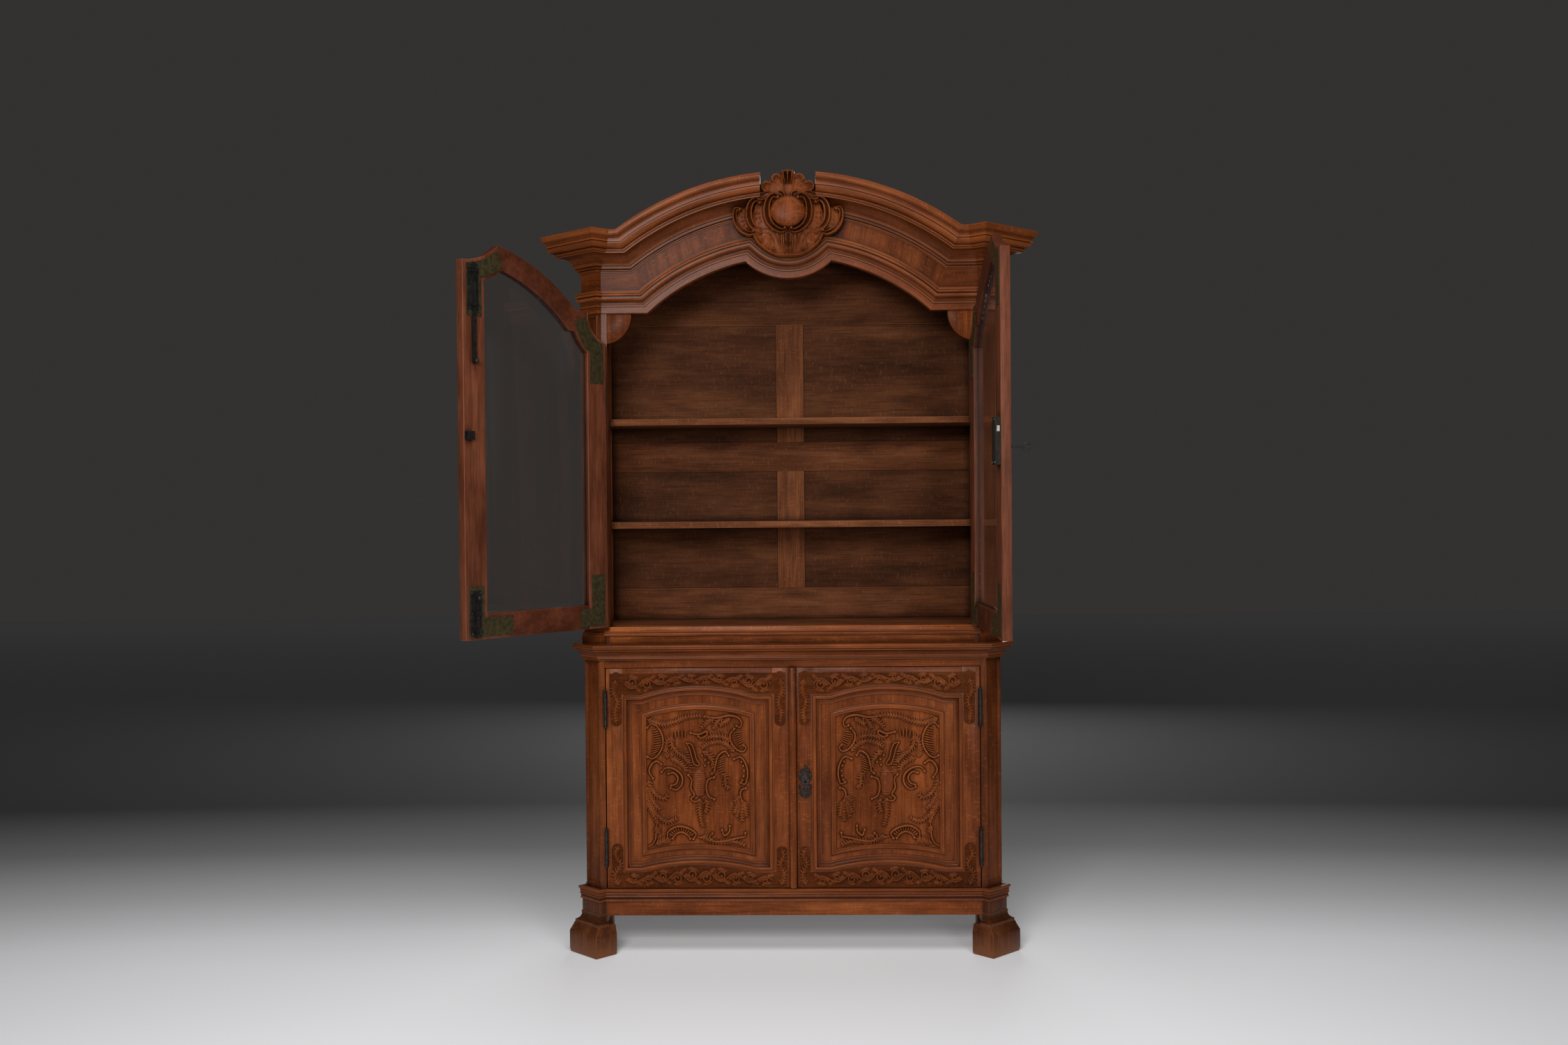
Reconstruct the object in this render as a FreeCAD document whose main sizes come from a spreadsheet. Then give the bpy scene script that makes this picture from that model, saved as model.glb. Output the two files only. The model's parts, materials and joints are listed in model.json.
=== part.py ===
import FreeCAD, Part
import math
import os
import re

import Sketcher

# Driving dimensions in millimetres; angles in degrees
SIZES = {
    "body_depth": 350,
    "lower_half": 660,
    "lower_cant": 52,
    "lower_jamb": 69,
    "upper_setback": 12,
    "upper_cant": 57,
    "upper_jamb": 74,
    "pilaster_face": 80,
    "pilaster_proud": 15.5,
    "front_post_depth": 80,
    "rear_post_side": 50,
    "frame_thick": 28,
    "board_thick": 20,
    "panel_thick": 12,
    "side_thick": 24,
    "side_rail_height": 90,
    "base_bottom": 124,
    "base_height": 85,
    "base_moulding_height": 40,
    "base_moulding_proud": 12,
    "foot_face": 138,
    "foot_proud": 48,
    "foot_depth": 84,
    "foot_block_height": 106,
    "foot_round": 26,
    "neck_face": 92,
    "neck_proud": 13.5,
    "lower_rail_height": 49,
    "waist_thick": 25,
    "waist_height": 50,
    "waist_proud": 38,
    "nosing_height": 14,
    "plinth_height": 55,
    "opening_height": 987,
    "lintel_length": 129.3,
    "arch_rise": 173,
    "pendant_radius": 197,
    "pendant_drop": 68,
    "ear_width": 77,
    "ear_height": 94,
    "ear_radius": 90,
    "fascia_height": 22,
    "architrave_height": 49,
    "architrave_proud": 12,
    "frieze_height": 60,
    "frieze_bead": 8,
    "cornice_height": 112,
    "cornice_depth": 90,
    "cornice_bed": 16,
    "cornice_fillet": 14,
    "corona_height": 26,
    "cornice_cap": 20,
    "cornice_break": 86,
    "arch_sweep": 110,
    "roof_rise": 200,
    "shelf_thick": 20,
    "shelf_setback": 62,
    "shelf_clear": 1,
    "cleat_side": 20,
    "back_rail_height": 103,
    "back_mid_height": 97,
    "back_head_gap": 5,
    "back_muntin_width": 90,
    "back_inset": 4,
    "door_gap": 2,
    "meeting_gap": 2,
    "hinge_gap": 3,
    "door_thick": 28,
    "cupboard_height": 695,
    "cupboard_stile": 55,
    "cupboard_top_rail": 60,
    "cupboard_bottom_rail": 55,
    "panel_inset": 64,
    "panel_arch_rise": 29,
    "panel_foot_rise": 23,
    "panel_shoulder": 56,
    "panel_setback": 9,
    "field_margin": 52,
    "field_foot": 40,
    "field_thick": 5,
    "astragal_width": 23,
    "astragal_proud": 12,
    "glazed_stile": 80,
    "glazed_rail": 66,
    "glazed_foot_rail": 74,
    "glass_thick": 4,
    "glass_setback": 12,
    "glazed_proud": 12,
    "pin_offset": 9,
    "left_open_angle": 128,
    "right_open_angle": 92,
    "knuckle_radius": 5,
    "pin_radius": 3,
    "pin_clear": 0.05,
    "hinge_clear": 0.3,
    "leaf_thick": 1.2,
    "leaf_depth": 22,
    "finial_radius": 5,
    "glazed_hinge_length": 80,
    "glazed_hinge_inset": 150,
    "cupboard_hinge_length": 104,
    "cupboard_hinge_inset": 128,
    "plate_leg": 100,
    "plate_width": 20,
    "plate_thick": 2,
    "plate_inset": 62,
    "bolt_inset": 38,
    "bolt_width": 10,
    "bolt_thick": 8,
    "bolt_clear": 0.4,
    "bolt_plate_width": 40,
    "bolt_plate_height": 130,
    "bolt_plate_thick": 2.5,
    "guide_width": 22,
    "guide_height": 12,
    "guide_thick": 12,
    "guide_inset": 10,
    "bolt_top_length": 290,
    "bolt_foot_length": 122,
    "bolt_retreat": 6,
    "knob_radius": 7,
    "keeper_width": 26,
    "keeper_height": 24,
    "lock_width": 56,
    "lock_height": 132,
    "lock_depth": 16,
    "lock_wall": 1.5,
    "lock_edge": 3,
    "lock_lift": 58.5,
    "lock_bolt_length": 34,
    "lock_bolt_height": 16,
    "lock_bolt_lift": 26,
    "key_inset": 34,
    "key_drop": 16,
    "key_radius": 3,
    "key_clear": 0.3,
    "key_reach": 38,
    "key_bow_radius": 10,
    "key_bow_wire": 2.5,
    "key_bit_height": 13,
    "key_bit_width": 8,
    "cupboard_lock_width": 42,
    "cupboard_lock_drop": 12.5,
    "escutcheon_width": 40,
    "escutcheon_height": 108,
    "escutcheon_thick": 2.5,
    "keyhole_radius": 4,
    "crest_foot": 2,
    "crest_shell_radius": 74,
    "crest_shell_rise": 191,
    "crest_thick": 46,
    "crest_boss_rise": 130,
    "crest_boss_radius": 44,
    "crest_frame_radius": 68,
    "crest_frame_wire": 15,
    "crest_scroll_radius": 40,
    "crest_scroll_reach": 134,
    "crest_scroll_rise": 63,
    "crest_leaf_half": 58,
}

# Sizes that follow from the driving ones
DERIVED = {
    "upper_half": "=lower_half - upper_setback",
    "cupboard_half": "=lower_half - lower_jamb",
    "opening_half": "=upper_half - upper_jamb",
    "arch_spring": "=opening_half - lintel_length",
    "arch_radius": "=(arch_spring ^ 2 + arch_rise ^ 2) / (2 * arch_rise)",
    "arch_drop": "=arch_radius - arch_rise",
    "pendant_rise": "=arch_rise - pendant_drop",
    "low_shelf_rise": "=opening_height / 3 - shelf_thick",
    "high_shelf_rise": "=opening_height * 2 / 3 - shelf_thick",
    "cupboard_shelf_rise": "=cupboard_height / 2 - shelf_thick",
    "back_mid_rise": "=opening_height / 2",
    "back_top_rise": "=opening_height - back_head_gap",
    "lock_rise": "=opening_height / 2 + lock_lift",
    "cupboard_lock_rise": "=cupboard_height / 2 - cupboard_lock_drop",
}

doc = FreeCAD.newDocument("display_cabinet")
sheet = doc.addObject("Spreadsheet::Sheet", "Sizes")
for row, (alias, size) in enumerate({**SIZES, **DERIVED}.items(), start=1):
    sheet.set(f"A{row}", alias)
    sheet.set(f"B{row}", str(size))
    sheet.setAlias(f"B{row}", alias)
doc.recompute()

nodes = []


# Expressions: every name with an underscore is a cell of the sheet
def bound(text):
    return re.sub(r"[a-z]+_[a-z_]+", r"Sizes.\g<0>", str(text))


def number(text):
    return float(sheet.evalExpression(bound(text)))


# Planes and levels shared by the pieces
FRONT = "(-body_depth / 2)"
BACK = "(body_depth / 2)"
BACK_FACE = f"({BACK} - back_inset)"
DOOR_BACK = f"({FRONT} + door_thick)"
FRAME_BACK = f"({FRONT} + frame_thick)"
GLAZED_FRONT = f"({FRONT} - glazed_proud)"
GLAZED_BACK = f"({GLAZED_FRONT} + door_thick)"
HINGE_Y = f"({FRONT} - knuckle_radius - hinge_clear)"
Z_BASE = "(base_bottom + base_height)"
Z_CUPBOARD = f"({Z_BASE} + door_gap)"
Z_CUPBOARD_TOP = f"({Z_CUPBOARD} + cupboard_height)"
Z_RAIL = f"({Z_CUPBOARD_TOP} + door_gap)"
Z_WAIST = f"({Z_RAIL} + lower_rail_height)"
Z_UPPER = f"({Z_WAIST} + waist_thick)"
Z_OPEN = f"({Z_UPPER} + plinth_height)"
Z_GLAZED = f"({Z_OPEN} + door_gap)"
Z_LINTEL = f"({Z_OPEN} + opening_height)"
Z_ARCH = f"({Z_LINTEL} - arch_drop)"
Z_PENDANT = f"({Z_LINTEL} + pendant_rise + pendant_radius)"
Z_ROOF = f"({Z_LINTEL} + roof_rise)"
Z_CREST = f"({Z_LINTEL} + arch_rise)"
H_ARCHITRAVE = "(fascia_height + architrave_height)"
H_FRIEZE = f"({H_ARCHITRAVE} + frieze_height)"
H_CORNICE = f"({H_FRIEZE} + frieze_bead)"
H_TOP = f"({H_CORNICE} + cornice_height)"


# Drawing helpers
def arc_between(start, end, radius):
    """Minor arc; a positive radius keeps the centre on the left of the way from start to end."""
    chord = end - start
    left = FreeCAD.Vector(-chord.y, chord.x, 0).normalize()
    side = math.copysign(1, radius)
    centre = (start + end) * 0.5 + left * side * math.sqrt(radius**2 - chord.Length**2 / 4)
    circle = Part.Circle(centre, FreeCAD.Vector(0, 0, 1), abs(radius))
    first, last = (start, end) if side > 0 else (end, start)
    return Part.ArcOfCircle(circle, circle.parameter(first), circle.parameter(last))


def draw(sketch, points, closed=True):
    """Outline through points (x, y) or (x, y, radius of the arc to the next point)."""
    corners = [FreeCAD.Vector(number(point[0]), number(point[1]), 0) for point in points]
    count = len(points) if closed else len(points) - 1
    ends = []
    for place in range(count):
        start, end = corners[place], corners[(place + 1) % len(corners)]
        if len(points[place]) == 2:
            edge = sketch.addGeometry(Part.LineSegment(start, end), False)
            ends.append((edge, 1, 2))
            continue
        radius = number(points[place][2])
        edge = sketch.addGeometry(arc_between(start, end, radius), False)
        ends.append((edge, 1, 2) if radius > 0 else (edge, 2, 1))
        held = sketch.addConstraint(Sketcher.Constraint("Radius", edge, abs(radius)))
        sketch.setExpression(f"Constraints[{held}]", bound(f"abs({points[place][2]})"))
    for place in range(count if closed else count - 1):
        edge, _, tail = ends[place]
        following, head, _ = ends[(place + 1) % count]
        sketch.addConstraint(Sketcher.Constraint("Coincident", edge, tail, following, head))
    for place, point in enumerate(points):
        edge, head, tail = ends[min(place, count - 1)]
        end = head if place < count else tail
        for kind, text in (("DistanceX", point[0]), ("DistanceY", point[1])):
            held = sketch.addConstraint(Sketcher.Constraint(kind, -1, 1, edge, end, number(text)))
            sketch.setExpression(f"Constraints[{held}]", bound(text))


def sketch_on(body, plane, shift, lift="0"):
    """Empty sketch on one of the body's own planes, moved along its normal and up."""
    sketch = body.newObject("Sketcher::SketchObject", "Outline")
    support = next(item for item in body.Origin.OriginFeatures if item.Role == plane)
    sketch.AttachmentSupport = [(support, "")]
    sketch.MapMode = "FlatFace"
    sketch.setExpression("AttachmentOffset.Base.z", bound(shift))
    sketch.setExpression("AttachmentOffset.Base.y", bound(lift))
    return sketch


def mirrored(points):
    return [(f"-({point[0]})", point[1]) + tuple(f"-({arc})" for arc in point[2:]) for point in points]


def sided(points, side):
    return points if side > 0 else mirrored(points)


def prism(plane, points, low, high):
    """Outline padded between two bounds along the plane's normal axis."""
    body = doc.addObject("PartDesign::Body", "Prism")
    shift = f"-({high})" if plane == "XZ_Plane" else low
    sketch = sketch_on(body, plane, shift)
    draw(sketch, points)
    pad = body.newObject("PartDesign::Pad", "Pad")
    pad.Profile = sketch
    pad.setExpression("Length", bound(f"({high}) - ({low})"))
    return body


def board(x, y, z):
    """Squared board between two bounds on each axis."""
    box = doc.addObject("Part::Box", "Board")
    for side, axis, (low, high) in (("Length", "x", x), ("Width", "y", y), ("Height", "z", z)):
        box.setExpression(side, bound(f"({high}) - ({low})"))
        box.setExpression(f"Placement.Base.{axis}", bound(low))
    return box


def span(side, inner, outer):
    """Bounds in x between two distances from the middle, on the side given by its sign."""
    return (inner, outer) if side > 0 else (f"-({outer})", f"-({inner})")


def place(piece, x, y, z):
    for axis, text in (("x", x), ("y", y), ("z", z)):
        piece.setExpression(f"Placement.Base.{axis}", bound(text))
    return piece


def turn(piece, axis, angle):
    piece.Placement.Rotation = FreeCAD.Rotation(FreeCAD.Vector(*axis), angle)
    return piece


def rod(radius, height, x, y, z):
    cylinder = doc.addObject("Part::Cylinder", "Rod")
    cylinder.setExpression("Radius", bound(radius))
    cylinder.setExpression("Height", bound(height))
    return place(cylinder, x, y, z)


def level_rod(radius, y_low, y_high, x, z):
    """Rod along the depth of the cabinet."""
    piece = rod(radius, f"({y_high}) - ({y_low})", x, y_high, z)
    return turn(piece, (1, 0, 0), 90)


def ball(radius, x, y, z):
    sphere = doc.addObject("Part::Sphere", "Ball")
    sphere.setExpression("Radius", bound(radius))
    return place(sphere, x, y, z)


def fuse(*pieces):
    joined = doc.addObject("Part::MultiFuse", "Joined")
    joined.Shapes = list(pieces)
    return joined


def cut(base, *tools):
    for tool in tools:
        result = doc.addObject("Part::Cut", "Cut")
        result.Base = base
        result.Tool = tool
        base = result
    return base


def common(base, tool):
    result = doc.addObject("Part::Common", "Common")
    result.Base = base
    result.Tool = tool
    return result


def node(label, *pieces):
    """Named sub-part: its solids gathered in one placed compound."""
    group = doc.addObject("Part::Compound", label)
    group.Links = list(pieces)
    group.Label = label
    nodes.append(group)
    return group


def swept(path, section, start):
    """Moulding: section drawn in XZ at the path's start, mitred along a level path."""
    body = doc.addObject("PartDesign::Body", "Moulding")
    spine = sketch_on(body, "XY_Plane", "0")
    draw(spine, path, closed=False)
    profile = sketch_on(body, "XZ_Plane", f"-({start})")
    draw(profile, section)
    pipe = body.newObject("PartDesign::AdditivePipe", "Pipe")
    pipe.Profile = profile
    pipe.Spine = (spine, [])
    pipe.Transition = "Right corner"
    return body


def arched(section):
    """Moulding turned about the middle of the arch; section heights count from that middle."""
    body = doc.addObject("PartDesign::Body", "Arch")
    profile = sketch_on(body, "YZ_Plane", "0", Z_ARCH)
    draw(profile, section)
    revolution = body.newObject("PartDesign::Revolution", "Revolution")
    revolution.Profile = profile
    revolution.ReferenceAxis = (profile, ["H_Axis"])
    revolution.Midplane = True
    revolution.setExpression("Angle", bound("arch_sweep"))
    return body


# Plan points of a block turned by 45 degrees on a canted corner
ROOT_HALF = "sqrt(0.5)"


def corner_block(half, cant, face, proud):
    """Front return, near arris, far arris and side return, as seen on the right-hand side."""
    middle_x = f"({half} - {cant} / 2)"
    middle_y = f"({FRONT} + {cant} / 2)"
    near_x = f"({middle_x} + ({proud} - {face} / 2) * {ROOT_HALF})"
    near_y = f"({middle_y} - ({proud} + {face} / 2) * {ROOT_HALF})"
    far_x = f"({middle_x} + ({proud} + {face} / 2) * {ROOT_HALF})"
    far_y = f"({middle_y} + ({face} / 2 - {proud}) * {ROOT_HALF})"
    return [
        (f"({near_x} + {near_y} - {FRONT})", FRONT),
        (near_x, near_y),
        (far_x, far_y),
        (half, f"({far_y} + {far_x} - {half})"),
    ]


PILASTER = corner_block("upper_half", "upper_cant", "pilaster_face", "pilaster_proud")
NECK = corner_block("lower_half", "lower_cant", "neck_face", "neck_proud")
SIDES = (-1, 1)


# Cupboard carcass
def front_feet():
    feet = []
    for side in SIDES:
        near, far = corner_block("lower_half", "lower_cant", "foot_face", "foot_proud")[1:3]
        inward = f"foot_depth * {ROOT_HALF}"
        plan = [
            near,
            far,
            (f"{far[0]} - {inward}", f"{far[1]} + {inward}"),
            (f"{near[0]} - {inward}", f"{near[1]} + {inward}"),
        ]
        block = prism("XY_Plane", sided(plan, side), "0", "foot_block_height")
        doc.recompute()
        plain = block.Tip
        top_edges = [
            f"Edge{index}"
            for index, edge in enumerate(plain.Shape.Edges, start=1)
            if min(vertex.Z for vertex in edge.Vertexes) > number("foot_block_height / 2")
        ]
        shoulder = block.newObject("PartDesign::Fillet", "Shoulder")
        shoulder.Base = (plain, top_edges)
        shoulder.setExpression("Radius", bound("foot_round"))
        depth = f"({FRONT} + front_post_depth)"
        plan = [("cupboard_half", FRONT)] + NECK
        plan += [("lower_half", depth), ("cupboard_half", depth)]
        neck = prism("XY_Plane", sided(plan, side), "foot_block_height", Z_BASE)
        feet.append(fuse(block, neck))
    node("front_feet", *feet)


def lower_carcass():
    depth = f"({FRONT} + front_post_depth)"
    posts = []
    for side in SIDES:
        plan = [
            ("cupboard_half", FRONT),
            ("lower_half - lower_cant", FRONT),
            ("lower_half", f"{FRONT} + lower_cant"),
            ("lower_half", depth),
            ("cupboard_half", depth),
        ]
        posts.append(prism("XY_Plane", sided(plan, side), Z_BASE, Z_WAIST))
    node("lower_corner_posts", *posts)
    between = ("-cupboard_half", "cupboard_half")
    node("base_rail", board(between, (FRONT, FRAME_BACK), ("base_bottom", Z_BASE)))
    node("lower_top_rail", board(between, (FRONT, FRAME_BACK), (Z_RAIL, Z_WAIST)))
    bottom_y = (FRAME_BACK, f"({BACK_FACE} - panel_thick)")
    node("lower_bottom_board", board(between, bottom_y, (f"{Z_BASE} - board_thick", Z_BASE)))
    width = "(2 * (lower_half - rear_post_side) / 4)"
    boards = []
    for count in range(4):
        low = f"({count - 2} * {width})"
        back_y = (f"{BACK_FACE} - panel_thick", BACK_FACE)
        boards.append(board((low, f"{low} + {width}"), back_y, (f"{Z_BASE} - board_thick", Z_WAIST)))
    node("lower_back_boards", *boards)


def base_moulding():
    edge = NECK[0][0]
    section = [
        (FRONT, f"{Z_BASE} - base_moulding_height"),
        (f"{FRONT} - base_moulding_proud / 2", f"{Z_BASE} - base_moulding_height"),
        (f"{FRONT} - base_moulding_proud / 2", f"{Z_BASE} - base_moulding_height / 3"),
        (f"{FRONT} - base_moulding_proud", f"{Z_BASE} - base_moulding_height / 3"),
        (f"{FRONT} - base_moulding_proud", Z_BASE),
        (FRONT, Z_BASE),
    ]
    node("base_moulding", prism("YZ_Plane", section, f"-({edge})", edge))


def side_frames():
    """Rear posts, rails and panels that close the two sides of the cupboard and of the glazed case."""
    rear = f"({BACK} - rear_post_side)"
    along = (f"{FRONT} + front_post_depth", rear)
    rails, panels, posts = [], [], []
    halves = (("lower_half", "base_bottom", Z_WAIST, "0"), ("upper_half", Z_UPPER, Z_ROOF, Z_UPPER))
    for half, low, high, foot in halves:
        for side in SIDES:
            post_x = span(side, f"{half} - rear_post_side", half)
            posts.append(board(post_x, (rear, BACK), (foot, high)))
            thick = span(side, f"{half} - side_thick", half)
            inner = f"({half} - side_thick)"
            rails.append(board(thick, along, (low, f"{low} + side_rail_height")))
            rails.append(board(thick, along, (f"{high} - side_rail_height", high)))
            sunk = span(side, inner, f"{inner} + panel_thick")
            panels.append(board(sunk, along, (f"{low} + side_rail_height", f"{high} - side_rail_height")))
    node("rear_posts", *posts)
    node("side_rails", *rails)
    node("side_panels", *panels)


def waist():
    plan = [
        ("lower_half", BACK),
        ("lower_half", f"{FRONT} + lower_cant"),
        ("lower_half - lower_cant", FRONT),
    ]
    outline = plan + mirrored(plan)[::-1]
    node("waist_board", prism("XY_Plane", outline, Z_WAIST, Z_UPPER))
    foot = f"({Z_UPPER} - waist_height)"
    nosing = f"({Z_UPPER} - nosing_height)"
    section = [
        ("lower_half", foot),
        ("lower_half + waist_proud / 5", foot, "-waist_height"),
        ("lower_half + waist_proud * 0.8", nosing),
        ("lower_half + waist_proud", nosing),
        ("lower_half + waist_proud", Z_UPPER),
        ("lower_half", Z_UPPER),
    ]
    node("waist_moulding", swept(outline, section, BACK))


# Glazed case
def upper_carcass():
    depth = f"({FRONT} + front_post_depth)"
    posts = []
    for side in SIDES:
        plan = [("opening_half", FRONT)] + PILASTER
        plan += [("upper_half", depth), ("opening_half", depth)]
        posts.append(prism("XY_Plane", sided(plan, side), Z_UPPER, Z_ROOF))
    node("upper_corner_posts", *posts)
    between = ("-opening_half", "opening_half")
    rail = board(between, (FRONT, FRAME_BACK), (Z_UPPER, Z_OPEN))
    node("plinth_rail", cut(rail, bolt_notch(f"{Z_OPEN} - keeper_height", f"{Z_OPEN} + door_gap")))
    roof = [
        ("opening_half", FRAME_BACK),
        ("upper_half - upper_cant + frame_thick", FRAME_BACK),
        ("upper_half", f"{FRONT} + upper_cant"),
        ("upper_half", BACK),
    ]
    node("roof_board", prism("XY_Plane", roof + mirrored(roof)[::-1], Z_ROOF, f"{Z_ROOF} + board_thick"))


def notched_shelf(half, inner, front, back, low, high):
    """Shelf that passes between the front posts, fills the width and passes between the rear posts."""
    wide = f"({half} - side_thick - shelf_clear)"
    past_front = f"({FRONT} + front_post_depth + shelf_clear)"
    past_rear = f"({BACK} - rear_post_side - shelf_clear)"
    rear = f"({half} - rear_post_side - shelf_clear)"
    plan = [
        (f"{inner} - shelf_clear", front),
        (f"{inner} - shelf_clear", past_front),
        (wide, past_front),
        (wide, past_rear),
        (rear, past_rear),
        (rear, back),
    ]
    return prism("XY_Plane", plan + mirrored(plan)[::-1], low, high)


def shelves():
    setback = f"({FRONT} + shelf_setback)"
    back = f"({BACK_FACE} - board_thick)"
    upper = ("upper_half", "opening_half")
    low_shelf = f"({Z_OPEN} + low_shelf_rise)"
    high_shelf = f"({Z_OPEN} + high_shelf_rise)"
    cupboard_shelf = f"({Z_BASE} + cupboard_shelf_rise)"
    floor = notched_shelf(*upper, FRAME_BACK, back, f"{Z_OPEN} - board_thick", Z_OPEN)
    node("upper_bottom_board", floor)
    rows = (
        ("lower_display_shelf", upper, low_shelf, back),
        ("upper_display_shelf", upper, high_shelf, back),
        ("cupboard_shelf", ("lower_half", "cupboard_half"), cupboard_shelf, f"({BACK_FACE} - panel_thick)"),
    )
    cleats = []
    for label, (half, inner), low, rear in rows:
        node(label, notched_shelf(half, inner, setback, rear, low, f"{low} + shelf_thick"))
        along = (f"{FRONT} + front_post_depth", f"{BACK} - rear_post_side")
        for side in SIDES:
            across = span(side, f"{half} - side_thick - cleat_side", f"{half} - side_thick")
            cleats.append(board(across, along, (f"{low} - cleat_side", low)))
    node("shelf_cleats", *cleats)


def framed_back():
    half = "(upper_half - rear_post_side)"
    thick = (f"{BACK_FACE} - board_thick", BACK_FACE)
    middle_y = f"({BACK_FACE} - board_thick / 2)"
    sunk = (f"{middle_y} - panel_thick / 2", f"{middle_y} + panel_thick / 2")
    foot = f"({Z_OPEN} - board_thick)"
    low = f"({Z_OPEN} + back_rail_height)"
    middle = f"({Z_OPEN} + back_mid_rise)"
    high = f"({middle} + back_mid_height)"
    top = f"({Z_OPEN} + back_top_rise)"
    width = (f"-{half}", half)
    frame = [board(width, thick, levels) for levels in ((foot, low), (middle, high), (top, Z_ROOF))]
    muntin = ("-back_muntin_width / 2", "back_muntin_width / 2")
    panels = []
    for bottom, head in ((low, middle), (high, top)):
        frame.append(board(muntin, thick, (bottom, head)))
        for side in SIDES:
            panels.append(board(span(side, "back_muntin_width / 2", half), sunk, (bottom, head)))
    node("back_frame", *frame)
    node("back_panels", *panels)


# Arched front: distances H count outwards from the edge of the arch and upwards from the lintel
def mitre(rise):
    """Distance from the middle where the level moulding meets the arched one."""
    return f"sqrt((arch_radius + {rise})^2 - (arch_drop + {rise})^2)"


def crossing(arch, pendant):
    """Point right of the middle where the arch meets the pendant's round."""
    apart = "(arch_drop + pendant_rise + pendant_radius)"
    rise = f"(({apart}^2 + ({arch})^2 - ({pendant})^2) / (2 * {apart}))"
    return f"sqrt(({arch})^2 - {rise}^2)", f"({Z_ARCH} + {rise})"


def fan(inner=None, side=1):
    """Wedge between the mitre lines that trims the arched mouldings, whole or one half of it."""
    top = f"({Z_ARCH} + arch_radius + {H_TOP} + cornice_cap)"
    half = [
        (mitre("0"), Z_LINTEL),
        (mitre(H_TOP), f"{Z_LINTEL} + {H_TOP}"),
        (mitre(H_TOP), top),
    ]
    if inner is None:
        outline = half + mirrored(half)[::-1]
    else:
        outline = sided(half + [(inner, top), (inner, Z_LINTEL)], side)
    reach = (f"{FRONT} - cornice_depth - cornice_cap", f"{FRAME_BACK} + cornice_cap")
    return prism("XZ_Plane", outline, *reach)


def arch_header():
    top_radius = f"(arch_radius + {H_TOP} - cornice_cap)"
    shoulder = f"({Z_ARCH} + sqrt({top_radius}^2 - opening_half^2))"
    tip_x, tip_z = crossing("arch_radius", "pendant_radius")
    outline = [
        ("-opening_half", Z_LINTEL),
        (f"-{mitre('0')}", Z_LINTEL, "-arch_radius"),
        (f"-{tip_x}", tip_z, "pendant_radius"),
        (tip_x, tip_z, "-arch_radius"),
        (mitre("0"), Z_LINTEL),
        ("opening_half", Z_LINTEL),
        ("opening_half", shoulder, top_radius),
        ("-opening_half", shoulder),
    ]
    header = prism("XZ_Plane", outline, FRONT, FRAME_BACK)
    pendant_foot = f"({Z_LINTEL} + pendant_rise)"
    notch = bolt_notch(f"{pendant_foot} - door_gap", f"{pendant_foot} + keeper_height")
    node("arch_header", cut(header, notch))
    ears = []
    for side in SIDES:
        outline = [
            ("-opening_half", Z_LINTEL),
            ("-opening_half", f"{Z_LINTEL} - ear_height", "ear_radius"),
            ("-opening_half + ear_width", Z_LINTEL),
        ]
        ears.append(prism("XZ_Plane", sided(outline, -side), FRONT, FRAME_BACK))
    node("arch_ears", *ears)


def band(section):
    """Moulding along the lintel and over the arch; section gives (proud, H) and a radius for rounds."""
    def points(datum):
        return [(f"{FRONT} - ({proud})", f"{datum} + {rise}", *arc) for proud, rise, *arc in section]

    trim = fan()
    pieces = [common(arched(points("arch_radius")), trim)]
    for side in SIDES:
        edge = PILASTER[0][0]
        length = span(side, mitre("0"), edge)
        pieces.append(cut(prism("YZ_Plane", points(Z_LINTEL), *length), trim))
    return pieces


def architrave():
    step = "(fascia_height + architrave_height * 0.6)"
    moulding = band([
        ("0", "fascia_height"),
        ("architrave_proud / 4", "fascia_height", "-architrave_height"),
        ("architrave_proud * 0.7", step),
        ("architrave_proud", step),
        ("architrave_proud", H_ARCHITRAVE),
        ("0", H_ARCHITRAVE),
    ])
    bead = band([
        ("0", H_FRIEZE),
        ("frieze_bead", H_FRIEZE),
        ("frieze_bead", H_CORNICE),
        ("0", H_CORNICE),
    ])
    node("architrave_mouldings", *moulding, *bead)


def flip(arc):
    return [f"-({text})" for text in arc]


def cornice():
    cove_top = f"({H_TOP} - cornice_cap - corona_height)"
    bed_top = f"({H_CORNICE} + cornice_fillet)"
    profile = [
        ("0", H_CORNICE),
        ("cornice_bed", H_CORNICE),
        ("cornice_bed", bed_top, "-cornice_depth"),
        ("cornice_depth * 0.8", cove_top),
        ("cornice_depth", cove_top),
        ("cornice_depth", f"{H_TOP} - cornice_cap", "-cornice_cap * 1.2"),
        ("cornice_depth * 0.85", H_TOP),
    ]
    over = profile + [("-frame_thick", H_TOP), ("-frame_thick", f"{H_TOP} - cornice_cap")]
    over.append(("0", f"{H_TOP} - cornice_cap"))
    section = [(f"{FRONT} - ({proud})", f"arch_radius + {rise}", *arc) for proud, rise, *arc in over]
    halves = [common(arched(section), fan("cornice_break", side)) for side in SIDES]
    node("cornice_arches", *halves)
    blocks = []
    flat = profile + [("0", H_TOP)]
    for side in SIDES:
        path = [("upper_half", BACK)] + PILASTER[::-1] + [(mitre("0"), FRONT)]
        section = [(f"upper_half + {proud}", f"{Z_LINTEL} + {rise}", *flip(arc)) for proud, rise, *arc in flat]
        block = swept(sided(path, side), sided(section, side), BACK)
        blocks.append(cut(block, fan()))
    node("cornice_corner_blocks", *blocks)


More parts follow.
